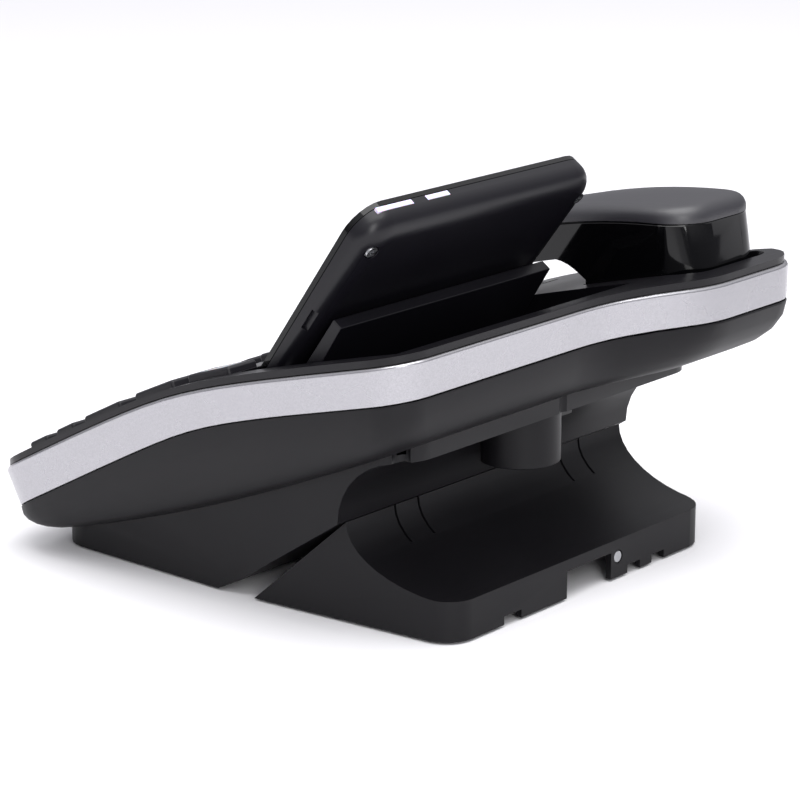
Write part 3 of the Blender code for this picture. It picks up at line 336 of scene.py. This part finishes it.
def circuit_board(name):
    """Glass-epoxy board under green solder mask: traces show as a slightly raised, lighter net."""
    made, tree, shader = blank(name)
    set_values(shader, IOR=1.52, Roughness=0.35)
    net = add_node(tree, "ShaderNodeTexVoronoi", {"Vector": own_place(tree), "Scale": 1 / (4 * MM)},
                   feature="DISTANCE_TO_EDGE", distance="EUCLIDEAN")
    edge = add_node(tree, "ShaderNodeMapRange", {"Value": net.outputs["Distance"], "From Max": 0.06})
    vary_colour(tree, shader, linear("2F7A45"), 0.45, edge.outputs["Result"])
    bump(tree, shader, edge.outputs["Result"], -0.03 * MM, 0.6)
    return made


def shrink_wrap(name):
    """PVC sleeve shrunk on a cell: glossy film with shallow wrinkles."""
    made, tree, shader = blank(name)
    set_values(shader, IOR=1.53, Roughness=0.24)
    crease = noise(tree, 6 * MM, 3.0)
    vary_colour(tree, shader, linear("2B4F8C"), 0.8, crease.outputs["Fac"])
    bump(tree, shader, crease.outputs["Fac"], 0.15 * MM, 0.5)
    return made


def printed_ink(name, base):
    """Pad-printed ink: flat and slightly chalky."""
    made, tree, shader = blank(name)
    speck = noise(tree, 0.6 * MM, 2.0)
    vary_colour(tree, shader, base, 0.92, speck.outputs["Fac"])
    vary_roughness(tree, shader, speck.outputs["Fac"], 0.5, 0.62)
    return made


def swept_floor(name, base):
    """Painted studio floor: even and dull."""
    made, tree, shader = blank(name)
    cloud = noise(tree, 900 * MM, 2.0)
    vary_colour(tree, shader, base, 0.985, cloud.outputs["Fac"])
    set_values(shader, Roughness=0.85, IOR=1.45)
    return made


FINISHES = {}


def make_finishes():
    c = colours()
    FINISHES.update({
        "housing": spark_eroded_abs("ABS spark-eroded black", c.housing),
        "deck": satin_abs("ABS satin deck", c.deck),
        "cover": satin_abs("ABS satin cover", c.cover),
        "back": matt_abs("ABS matt handset back", c.back),
        "gloss": polished_abs("ABS polished black", c.gloss),
        "silver": metallic_paint("Metallic paint silver", c.silver),
        "keycap": moulded_keycap("ABS painted keycap", c.keycap),
        "insert": translucent_pc("Polycarbonate key insert", c.insert, 0.35),
        "legend": printed_ink("Pad-printed ink", c.legend),
        "window": hard_coated_window("Polycarbonate hard-coated window"),
        "lcd": lcd_glass("LCD glass"),
        "light_pipe": translucent_pc("Acrylic light pipe", c.light_pipe, 0.3),
        "rubber": moulded_rubber("Rubber moulded black", c.rubber),
        "steel": plated_metal("Steel zinc-plated", "B9BABD", 0.28),
        "gold": plated_metal("Brass gold-plated", "D9A84A", 0.2),
        "paper": pulp_paper("Paper pulp cone"),
        "board": circuit_board("Glass-epoxy board"),
        "wrap": shrink_wrap("PVC shrink sleeve"),
    })


# ---------------------------------------------------------------- mesh helpers
SMOOTH_ANGLE = math.radians(32)
FLAT_ANGLE = math.radians(0.4)
WELD = 0.005 * MM


def finish_piece(name, builder, finish, nodes, edge=0.0, segments=3):
    """Makes an object from a mesh builder, in place of CAD nodes on one body, and has it ride there."""
    mesh = bpy.data.meshes.new(name)
    bmesh.ops.recalc_face_normals(builder, faces=builder.faces)
    builder.to_mesh(mesh)
    builder.free()
    mesh.materials.append(FINISHES[finish])
    mesh.shade_smooth()
    mesh.set_sharp_from_angle(angle=SMOOTH_ANGLE)
    piece = bpy.data.objects.new(name, mesh)
    bpy.context.scene.collection.objects.link(piece)
    if edge:
        soften = piece.modifiers.new("softened edges", "BEVEL")
        soften.width = edge
        soften.segments = segments
        soften.limit_method = "ANGLE"
        soften.angle_limit = SMOOTH_ANGLE
        soften.harden_normals = True
        soften.use_clamp_overlap = True
    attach(piece, NODES[nodes[0]]["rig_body"])
    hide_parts(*nodes)
    return piece


def cad_mesh(node):
    """The CAD node's surface with shared corners and whole flat faces, ready for rounding."""
    builder = bmesh.new()
    builder.from_mesh(NODES[node].data)
    bmesh.ops.remove_doubles(builder, verts=builder.verts, dist=WELD)
    bmesh.ops.dissolve_limit(builder, angle_limit=FLAT_ANGLE, verts=builder.verts, edges=builder.edges)
    for face in builder.faces:
        face.material_index = 0
    return builder


def refine(node, finish, edge=0.0, segments=3):
    return finish_piece(node + "_finished", cad_mesh(node), finish, (node,), edge, segments)


def plain(node, finish):
    """Gives its material to a CAD node whose shape stays as it is."""
    item = NODES[node]
    item.data.materials.clear()
    item.data.materials.append(FINISHES[finish])


# ---------------------------------------------------------------- the deck's and the handset's curves
CREST_Y, CREST_Z, CREST_EASE = -16.5 * MM, 82.8 * MM, 30 * MM
LEVEL_Y, LEVEL_EASE = 101.5 * MM, 8 * MM
FRONT_SLOPE, REAR_SLOPE = 0.54, 0.25


def deck_slope(y):
    crest, level = y - CREST_Y, y - LEVEL_Y
    mean, bend = (FRONT_SLOPE + REAR_SLOPE) / 2, (FRONT_SLOPE - REAR_SLOPE) / 2
    return (mean - bend * crest / math.hypot(crest, CREST_EASE)
            - REAR_SLOPE / 2 * (1 + level / math.hypot(level, LEVEL_EASE)))


def deck_z(y):
    crest, level = y - CREST_Y, y - LEVEL_Y
    mean, bend = (FRONT_SLOPE + REAR_SLOPE) / 2, (FRONT_SLOPE - REAR_SLOPE) / 2
    return (CREST_Z + mean * crest - bend * math.hypot(crest, CREST_EASE)
            - REAR_SLOPE / 2 * (level + math.hypot(level, LEVEL_EASE)))


HANDSET_X, HALF = -76 * MM, 25 * MM
HANDSET_FRONT, HANDSET_REAR = -110.5 * MM, 102.5 * MM
CORNER = 16 * MM
MOUTH_LEAN, EAR_LEAN = 7.5 * MM, 4 * MM
MOUTH_END, EAR_START = -76.5 * MM, 52.5 * MM
SHELL_DEPTH, GRIP_DEPTH = 7 * MM, 21 * MM
CROWN = ((-101.5 * MM, 22.5 * MM), (94.5 * MM, 28 * MM))
CROWN_SAG = 19.4 * MM
CUP_FLOOR = -1.8 * MM
CUP_WALL = 6 * MM
LEAN_REACH = 30 * MM
BODY_GAP = 0.3 * MM
LONG_STEPS, CROSS_STEPS = 24, 24
RISE_FRONT, RISE_REAR = 10 * MM, 15 * MM      # length of the arch's round ends
CUP_STEP = 0.4 * MM
WALL_SHARES = (0.35, 0.7, 1.0)                # heights of the body's wall lines, from the top down
FLOOR_SHARES = (0.6, 0.2, -0.2, -0.6)         # places of the lines across its underside


def crown_z(y, depth=0.0):
    """Height of the arc that lies `depth` under the handset's back."""
    (y0, h0), (y1, h1) = CROWN
    first, last = Vector((y0, deck_z(y0) + h0)), Vector((y1, deck_z(y1) + h1))
    chord = last - first
    radius = (chord.length ** 2 / 4 + CROWN_SAG ** 2) / (2 * CROWN_SAG)
    middle = (first + last) / 2 + Vector((-chord.y, chord.x)).normalized() * (CROWN_SAG - radius)
    return middle.y + math.sqrt((radius - depth) ** 2 - (y - middle.x) ** 2)


def handset_stations(front, rear, extra=()):
    """Sections along the handset, close together near its ends."""
    near = [0.0, 0.25, 0.9, 1.9, 3.2, 4.8, 6.6, 9.0, 12.0, CORNER / MM]
    stations = [front + step * MM for step in near] + [rear - step * MM for step in near]
    pitch = (rear - front - 2 * CORNER) / LONG_STEPS
    stations += [front + CORNER + pitch * index for index in range(1, LONG_STEPS)] + list(extra)
    return sorted(set(round(y, 7) for y in stations))


def half_width(y, front, rear, trim=0.0):
    """Half the handset's width at y: straight sides with round corners in plan."""
    reach = max(front + CORNER - y, y - rear + CORNER, 0.0)
    return HALF - trim - CORNER + math.sqrt(max(CORNER ** 2 - reach ** 2, 0.0))


def from_edge(x, y, front, rear):
    """Distance of a point from the handset's outline in plan, inwards."""
    dx = abs(x) - (HALF - CORNER)
    dy = abs(y - (front + rear) / 2) - ((rear - front) / 2 - CORNER)
    outside = math.hypot(max(dx, 0.0), max(dy, 0.0)) + min(max(dx, dy), 0.0)
    return CORNER - outside


def across(half, count):
    """Places across the handset, from edge to edge, close together near the edges."""
    return [half * math.sin(math.pi / 2 * (2 * index / count - 1)) for index in range(count + 1)]


def sections_to_mesh(sections):
    """Skins closed sections of equal length and caps both ends."""
    builder = bmesh.new()
    rows = [[builder.verts.new(point) for point in section] for section in sections]
    for first, second in zip(rows, rows[1:]):
        for index in range(len(first)):
            after = (index + 1) % len(first)
            builder.faces.new((first[index], first[after], second[after], second[index]))
    builder.faces.new(rows[0])
    builder.faces.new(rows[-1][::-1])
    return builder


def handset_back(crown, dome):
    """The handset's back: a shallow dome with a wide round shoulder down to the seam."""
    front, rear = HANDSET_FRONT, HANDSET_REAR - EAR_LEAN
    sections = []
    for y in handset_stations(front, rear):
        half = half_width(y, front, rear)
        top = []
        for x in across(half, CROSS_STEPS):
            inwards = min(max(from_edge(x, y, front, rear), 0.0), crown)
            drop = crown - math.sqrt(max(crown ** 2 - (crown - inwards) ** 2, 0.0))
            lift = -dome * (x / HALF) ** 2
            top.append((HANDSET_X + x, y, crown_z(y) + lift * (inwards / crown) - drop))
        seam = crown_z(y, SHELL_DEPTH)
        sections.append([(HANDSET_X - half, y, seam)] + top + [(HANDSET_X + half, y, seam)])
    return sections_to_mesh(sections)


def lean_at(y, front, rear):
    """How far the body's foot lies from its top in y, near the two ends."""
    near_front = max(0.0, 1 - (y - front) / LEAN_REACH)
    near_rear = max(0.0, 1 - (rear - y) / LEAN_REACH)
    return MOUTH_LEAN * near_front + EAR_LEAN * near_rear


def cup_z(y):
    return deck_z(y) + CUP_FLOOR


def foot_z(y):
    """Underside of the handset: a cup at each end and the arch between them."""
    if y <= MOUTH_END or y >= EAR_START:
        return cup_z(y)
    front, rear = MOUTH_END + RISE_FRONT, EAR_START - RISE_REAR
    arch = crown_z(min(max(y, front), rear), GRIP_DEPTH)
    if y < front:
        start = cup_z(MOUTH_END) + CUP_WALL
        return start + (arch - start) * math.sin(math.pi / 2 * (y - MOUTH_END) / RISE_FRONT)
    if y > rear:
        start = cup_z(EAR_START) + CUP_WALL
        return start + (arch - start) * math.sin(math.pi / 2 * (EAR_START - y) / RISE_REAR)
    return arch


def handset_body(seam):
    """The glossy body under the back: straight walls that lean at the ends, cups and arch."""
    front, rear = HANDSET_FRONT, HANDSET_REAR - EAR_LEAN
    extra = [MOUTH_END, MOUTH_END + CUP_STEP, EAR_START - CUP_STEP, EAR_START]
    extra += [MOUTH_END + n * MM for n in (1.5, 3, 5, 7.5, 10)]
    extra += [EAR_START - n * MM for n in (2, 4, 6.5, 9, 12, 15)]
    sections = []
    for y in handset_stations(front, rear, extra):
        half = half_width(y, front, rear)
        top, foot, lean = crown_z(y, SHELL_DEPTH), foot_z(y), lean_at(y, front, rear)
        wall = [(half - seam, top - BODY_GAP, 0.0), (half - seam, top - seam, 0.0),
                (half, top - 2 * seam, 0.0)]
        wall += [(half, top + (foot - top) * share, lean * share) for share in WALL_SHARES]
        right = [(HANDSET_X + x, y + shift, z) for x, z, shift in wall]
        left = [(HANDSET_X - x, y + shift, z) for x, z, shift in reversed(wall)]
        floor = [(HANDSET_X + half * part, y + lean, foot) for part in FLOOR_SHARES]
        sections.append(right + floor + left)
    return sections_to_mesh(sections)


# ---------------------------------------------------------------- display cover
HINGE_X, HINGE_Y, HINGE_BELOW_DECK = 29.9 * MM, 30.4 * MM, 8.6 * MM
HINGE = Vector((HINGE_X, HINGE_Y, deck_z(HINGE_Y) - HINGE_BELOW_DECK))
PANEL_TILT = math.radians(54.5)
PANEL = Matrix.Translation(HINGE) @ Matrix.Rotation(PANEL_TILT, 4, "X")
PANEL_HALF, PANEL_LOW, PANEL_HIGH = 63.9 * MM, -6 * MM, 78.5 * MM
COVER_FRONT = 13.2 * MM
COVER_BACK_LOW, COVER_BACK_HIGH = 6.6 * MM, 3.2 * MM
COVER_WALL, COVER_FLOOR, SHOULDER_STEPS = 3 * MM, 9.8 * MM, 10
LOWER_CORNER, UPPER_CORNER = 4 * MM, 12 * MM
LIGHTS = {"message_light": (47.4 * MM, 18.7 * MM), "in_use_light": (24.5 * MM, 12.3 * MM)}
SCREWS = {"display_screw_right": (58.3 * MM, 65.7 * MM), "display_screw_left": (-58.3 * MM, 65.7 * MM)}
LIGHT_DEEP, LIGHT_TALL, SEAT_GAP, SEAT_TALL = 2.2 * MM, 2.8 * MM, 0.15 * MM, 6 * MM
LIGHT_BELOW_TOP = 0.02 * MM
SCREW_WELL_RADIUS, SCREW_WELL_DEEP = 2.9 * MM, 3 * MM
SCREW_RADIUS, SCREW_THICK, SCREW_SUNK = 2.4 * MM, 0.8 * MM, 1 * MM
CROSS_LONG, CROSS_WIDE, CROSS_DEEP, CROSS_SUNK = 3 * MM, 0.6 * MM, 1 * MM, 0.5 * MM
SLOT_PLACE, SLOT_SIZE = (PANEL_HALF, 29.5 * MM, 8.6 * MM), (3 * MM, 9 * MM, 2.4 * MM)


def panel_ring(inset, corner_steps=8):
    """Outline of the display drawn in by `inset`: two small corners below, two large ones above."""
    ring = []
    corners = ((1, False, LOWER_CORNER, -90), (1, True, UPPER_CORNER, 0), (-1, True, UPPER_CORNER, 90),
               (-1, False, LOWER_CORNER, 180))
    for side, upper, radius, start in corners:
        bend = max(radius - inset, 0.5 * MM)
        x = side * (PANEL_HALF - inset - bend)
        y = PANEL_HIGH - inset - bend if upper else PANEL_LOW + inset + bend
        for step in range(corner_steps + 1):
            angle = math.radians(start + 90 * step / corner_steps)
            ring.append((x + bend * math.cos(angle), y + bend * math.sin(angle)))
    return ring


def cover_back(y):
    share = (y - PANEL_LOW) / (PANEL_HIGH - PANEL_LOW)
    return COVER_BACK_LOW + (COVER_BACK_HIGH - COVER_BACK_LOW) * share


def panel_box(extent, place):
    """A block in the display's own frame."""
    builder = bmesh.new()
    stretch = Matrix.Diagonal((*extent, 1.0))
    bmesh.ops.create_cube(builder, size=1.0, matrix=Matrix.Translation(place) @ stretch)
    return builder


def panel_disc(radius, deep, place, sides=24):
    """A disc whose axis stands out of the screen."""
    builder = bmesh.new()
    bmesh.ops.create_cone(builder, cap_ends=True, segments=sides, radius1=radius, radius2=radius,
                          depth=deep, matrix=Matrix.Translation(place))
    return builder


def cut_away(builder, cutters):
    """Cuts solids out of a mesh and returns the result."""
    guides = []
    for solid in (builder, *cutters):
        mesh = bpy.data.meshes.new("guide")
        bmesh.ops.recalc_face_normals(solid, faces=solid.faces)
        solid.to_mesh(mesh)
        solid.free()
        guides.append(bpy.data.objects.new("guide", mesh))
        bpy.context.scene.collection.objects.link(guides[-1])
    for cutter in guides[1:]:
        made = guides[0].modifiers.new("cut", "BOOLEAN")
        made.operation = "DIFFERENCE"
        made.solver = "EXACT"
        made.object = cutter
    bpy.context.view_layer.update()
    result = bmesh.new()
    result.from_object(guides[0], bpy.context.evaluated_depsgraph_get())
    for guide in guides:
        mesh = guide.data
        bpy.data.objects.remove(guide)
        bpy.data.meshes.remove(mesh)
    return result


def display_cover(shoulder, lip):
    """Back of the display: a shallow shell with a wide soft shoulder, seats for the two lights,
    screw wells and a slot in its right side."""
    start = COVER_FRONT - lip
    rim = ((COVER_WALL, COVER_FLOOR), (COVER_WALL, COVER_FRONT), (0.0, COVER_FRONT))
    rings = [[(x, y, height) for x, y in panel_ring(inset)] for inset, height in rim]
    for step in range(SHOULDER_STEPS + 1):
        angle = math.pi / 2 * step / SHOULDER_STEPS
        outline = panel_ring(shoulder * (1 - math.cos(angle)))
        rings.append([(x, y, start + (cover_back(y) - start) * math.sin(angle)) for x, y in outline])
    cutters = [panel_box(SLOT_SIZE, SLOT_PLACE)]
    for centre, length in LIGHTS.values():
        cutters.append(panel_box((length + 2 * SEAT_GAP, SEAT_TALL, 2 * (LIGHT_DEEP + SEAT_GAP)),
                                 (centre, PANEL_HIGH, COVER_FRONT)))
    for x, y in SCREWS.values():
        cutters.append(panel_disc(SCREW_WELL_RADIUS, SCREW_WELL_DEEP, (x, y, cover_back(y))))
    builder = cut_away(sections_to_mesh(rings), cutters)
    builder.transform(PANEL)
    finish_piece("display_back", builder, "cover", ("display_rear_cover",))
    for node, (centre, length) in LIGHTS.items():
        strip = panel_box((length, LIGHT_TALL, LIGHT_DEEP),
                          (centre, PANEL_HIGH - LIGHT_BELOW_TOP - LIGHT_TALL / 2,
                           COVER_FRONT - LIGHT_DEEP / 2))
        strip.transform(PANEL)
        finish_piece(node + "_strip", strip, "light_pipe", (node,), sizes().bezel_edge / 2)
    for node, (x, y) in SCREWS.items():
        head = panel_disc(SCREW_RADIUS, SCREW_THICK, (x, y, cover_back(y) + SCREW_SUNK))
        slots = [(CROSS_LONG, CROSS_WIDE, CROSS_DEEP), (CROSS_WIDE, CROSS_LONG, CROSS_DEEP)]
        head = cut_away(head, [panel_box(slot, (x, y, cover_back(y) + CROSS_SUNK)) for slot in slots])
        head.transform(PANEL)
        finish_piece(node + "_head", head, "steel", (node,))


# ---------------------------------------------------------------- keys
FIGURES = {"star": "*", "pound": "#"}
DIAL = [f"dial_key_{label}" for label in (*"123456789", "star", "0", "pound")]
OTHER_KEYS = ["line_key_1", "line_key_2", "line_key_3", "hold_key", "speaker_key", "navigation_key",
              "volume_key"]
LEGEND_THICK = 0.04 * MM
FONT_PER_HEIGHT = 1.4        # text size for a figure of unit height
KEY_SEGMENTS = 3


def key_frame(node):
    """Matrix of a key's top face: X across, Y up the deck, Z out of the key."""
    low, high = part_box(node)
    middle = (low + high) / 2
    angle = math.atan(deck_slope(middle.y))
    turn = Matrix.Rotation(angle, 4, "X")
    out = turn @ Vector((0, 0, 1))
    reach = max((vertex.co - middle) @ out for vertex in NODES[node].data.vertices)
    return Matrix.Translation(middle + out * reach) @ turn


def figure_mesh(text, height, frame):
    """The figure as thin solid ink, centred on the frame."""
    curve = bpy.data.curves.new("figure", "FONT")
    curve.body = text
    curve.size = height * FONT_PER_HEIGHT
    curve.extrude = LEGEND_THICK / 2
    curve.align_x = "CENTER"
    curve.align_y = "CENTER"
    guide = bpy.data.objects.new("figure", curve)
    bpy.context.scene.collection.objects.link(guide)
    bpy.context.view_layer.update()
    mesh = bpy.data.meshes.new_from_object(guide.evaluated_get(bpy.context.evaluated_depsgraph_get()))
    bpy.data.objects.remove(guide)
    bpy.data.curves.remove(curve)
    mesh.transform(frame)
    return mesh


def keycap(node, text=""):
    """A keycap with softened edges; a dial key also carries its figure as a thin piece of its own."""
    finish_piece(node + "_cap", cad_mesh(node), "keycap", (node,), sizes().key_edge, KEY_SEGMENTS)
    if not text:
        return
    on_top = key_frame(node) @ Matrix.Translation((0, 0, LEGEND_THICK / 2))
    mesh = figure_mesh(text, sizes().legend_height, on_top)
    mesh.name = node + "_figure"
    mesh.materials.clear()
    mesh.materials.append(FINISHES["legend"])
    figure = bpy.data.objects.new(node + "_figure", mesh)
    bpy.context.scene.collection.objects.link(figure)
    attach(figure, NODES[node]["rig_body"])


# ---------------------------------------------------------------- operators
class PHONE_OT_console(bpy.types.Operator):
    """Finish the housing, the silver band, the stand, its feet and its screws"""

    bl_idname = "phone.console"
    bl_label = "Console"

    def execute(self, context):
        s = sizes()
        refine("lower_housing", "housing", s.housing_edge)
        refine("desk_stand", "housing", s.housing_edge)
        refine("silver_band", "silver", s.band_edge)
        refine("bay_turret", "housing", s.housing_edge)
        for node in ("front_foot_right", "front_foot_left", "rear_foot_right", "rear_foot_left"):
            refine(node, "rubber", s.deck_edge)
        for node in ("housing_screw_right", "housing_screw_middle", "stand_screw"):
            refine(node, "steel", s.deck_edge / 2)
        for node in ("line_jack", "power_jack"):
            refine(node, "gloss", s.deck_edge / 2)
        return {"FINISHED"}


class PHONE_OT_deck(bpy.types.Operator):
    """Finish the deck with its tray, wells and charging contacts"""

    bl_idname = "phone.deck"
    bl_label = "Deck"

    def execute(self, context):
        refine("top_deck", "deck", sizes().deck_edge)
        for node in ("charge_contact_left", "charge_contact_right"):
            refine(node, "gold", sizes().deck_edge / 2)
        return {"FINISHED"}


class PHONE_OT_keypad(bpy.types.Operator):
    """Make the dial keys with their figures, and the other keys"""

    bl_idname = "phone.keypad"
    bl_label = "Keys"

    def execute(self, context):
        for node in DIAL:
            label = node.rsplit("_", 1)[1]
            keycap(node, FIGURES.get(label, label))
        for node in OTHER_KEYS:
            keycap(node)
        for node in ("line_insert_1", "line_insert_2", "line_insert_3"):
            refine(node, "insert", sizes().bezel_edge / 2)
        return {"FINISHED"}


class PHONE_OT_display(bpy.types.Operator):
    """Finish the tilting display, its hinge block, lights and screws"""

    bl_idname = "phone.display"
    bl_label = "Display"

    def execute(self, context):
        s = sizes()
        display_cover(s.cover_shoulder, s.cover_lip)
        refine("display_bezel", "gloss", s.bezel_edge)
        refine("display_window", "window")
        refine("lcd_panel", "lcd")
        refine("hinge_housing", "cover", s.block_edge)
        for node in ("hinge_pin_right", "hinge_pin_left"):
            refine(node, "steel", s.bezel_edge / 3)
        return {"FINISHED"}


class PHONE_OT_handset(bpy.types.Operator):
    """Make the handset's domed back and its glossy body"""

    bl_idname = "phone.handset"
    bl_label = "Handset"

    def execute(self, context):
        s = sizes()
        finish_piece("handset_back", handset_back(s.handset_crown, s.handset_dome), "back",
                     ("handset_shell",))
        finish_piece("handset_body", handset_body(s.handset_seam), "gloss", ("handset_inner",),
                     s.block_edge)
        for node in ("charge_pad_left", "charge_pad_right"):
            plain(node, "gold")
        return {"FINISHED"}


class PHONE_OT_inside(bpy.types.Operator):
    """Give the boards, speakers, battery and keypad mat their materials"""

    bl_idname = "phone.inside"
    bl_label = "Inside"

    def execute(self, context):
        looks = {"loudspeaker": "paper", "earpiece_speaker": "paper", "microphone": "steel",
                 "main_board": "board", "handset_board": "board", "keypad_mat": "rubber",
                 "battery_pack": "wrap"}
        for node, look in looks.items():
            plain(node, look)
        return {"FINISHED"}


VIEW_FROM = (0.8161, 0.6991, 0.3637)
VIEW_AZIMUTH, VIEW_ELEVATION = math.radians(130.49), math.radians(15.92)
LENS, SENSOR = 130.5, 36      # millimetres, as a camera states them
HORIZON, ZENITH, SKY_STRENGTH = "6E6E74", "F7F7FA", 1.35
# name, place, aim, width and height in metres, watts
SOFT_BOXES = (("overhead box", (0.1, 0.2, 1.3), (0, 0, 0.1), 1.2, 1.2, 16),
              ("rear box", (0.9, 1.2, 0.6), (0, 0, 0.08), 0.5, 0.9, 9))


def soft_box(name, place, aim, width, height, power):
    light = bpy.data.lights.new(name, "AREA")
    light.shape = "RECTANGLE"
    light.size = width
    light.size_y = height
    light.energy = power
    lamp = bpy.data.objects.new(name, light)
    lamp.location = place
    lamp.rotation_euler = (Vector(aim) - Vector(place)).to_track_quat("-Z", "Y").to_euler()
    bpy.context.scene.collection.objects.link(lamp)


class PHONE_OT_stage(bpy.types.Operator):
    """Set up the floor, the soft boxes, the pale surroundings and the camera"""

    bl_idname = "phone.stage"
    bl_label = "Stage"

    def execute(self, context):
        builder = bmesh.new()
        bmesh.ops.create_grid(builder, x_segments=2, y_segments=2, size=sizes().floor_size / 2)
        mesh = bpy.data.meshes.new("studio_floor")
        builder.to_mesh(mesh)
        builder.free()
        mesh.materials.append(swept_floor("Studio floor paint", colours().floor))
        floor = bpy.data.objects.new("studio_floor", mesh)
        context.scene.collection.objects.link(floor)

        world = bpy.data.worlds.new("pale studio")
        world.use_nodes = True
        back = world.node_tree.nodes["Background"]
        tree = world.node_tree
        way = add_node(tree, "ShaderNodeTexCoord").outputs["Generated"]
        height = add_node(tree, "ShaderNodeSeparateXYZ", {"Vector": way}).outputs["Z"]
        shade = add_node(tree, "ShaderNodeMix",
                         {0: height, 6: (*linear(HORIZON), 1.0), 7: (*linear(ZENITH), 1.0)},
                         data_type="RGBA")
        tree.links.new(shade.outputs[2], back.inputs["Color"])
        back.inputs["Strength"].default_value = SKY_STRENGTH
        context.scene.world = world

        for lamp in SOFT_BOXES:
            soft_box(*lamp)

        level = math.cos(VIEW_ELEVATION)
        away = Vector((math.sin(VIEW_AZIMUTH) * level, -math.cos(VIEW_AZIMUTH) * level,
                       math.sin(VIEW_ELEVATION)))
        data = bpy.data.cameras.new("camera")
        data.lens = LENS
        data.sensor_width = SENSOR
        data.clip_start = 0.01
        data.clip_end = 50
        camera = bpy.data.objects.new("camera", data)
        camera.location = VIEW_FROM
        camera.rotation_euler = (-away).to_track_quat("-Z", "Y").to_euler()
        context.scene.collection.objects.link(camera)
        context.scene.camera = camera
        context.scene.view_settings.view_transform = "Standard"
        return {"FINISHED"}


OPERATORS = (PHONE_OT_console, PHONE_OT_deck, PHONE_OT_keypad, PHONE_OT_display, PHONE_OT_handset,
             PHONE_OT_inside, PHONE_OT_stage)


class PHONE_PT_panel(bpy.types.Panel):
    """Lists the telephone's pieces"""

    bl_idname = "PHONE_PT_panel"
    bl_label = "Desk Telephone"
    bl_space_type = "VIEW_3D"
    bl_region_type = "UI"
    bl_category = "Telephone"

    def draw(self, context):
        column = self.layout.column()
        for operator in OPERATORS:
            column.operator(operator.bl_idname)
        for group in (context.scene.phone_sizes, context.scene.phone_colours):
            for name in group.__annotations__:
                column.prop(group, name)


CLASSES = (PhoneSizes, PhoneColours, *OPERATORS, PHONE_PT_panel)


def register():
    for item in CLASSES:
        bpy.utils.register_class(item)
    bpy.types.Scene.phone_sizes = bpy.props.PointerProperty(type=PhoneSizes)
    bpy.types.Scene.phone_colours = bpy.props.PointerProperty(type=PhoneColours)


def unregister():
    del bpy.types.Scene.phone_colours
    del bpy.types.Scene.phone_sizes
    for item in reversed(CLASSES):
        bpy.utils.unregister_class(item)


def main():
    register()
    make_finishes()
    bpy.ops.phone.console()
    bpy.ops.phone.deck()
    bpy.ops.phone.keypad()
    bpy.ops.phone.display()
    bpy.ops.phone.handset()
    bpy.ops.phone.inside()
    bpy.ops.phone.stage()
    bpy.context.view_layer.update()


if __name__ == "__main__":
    main()
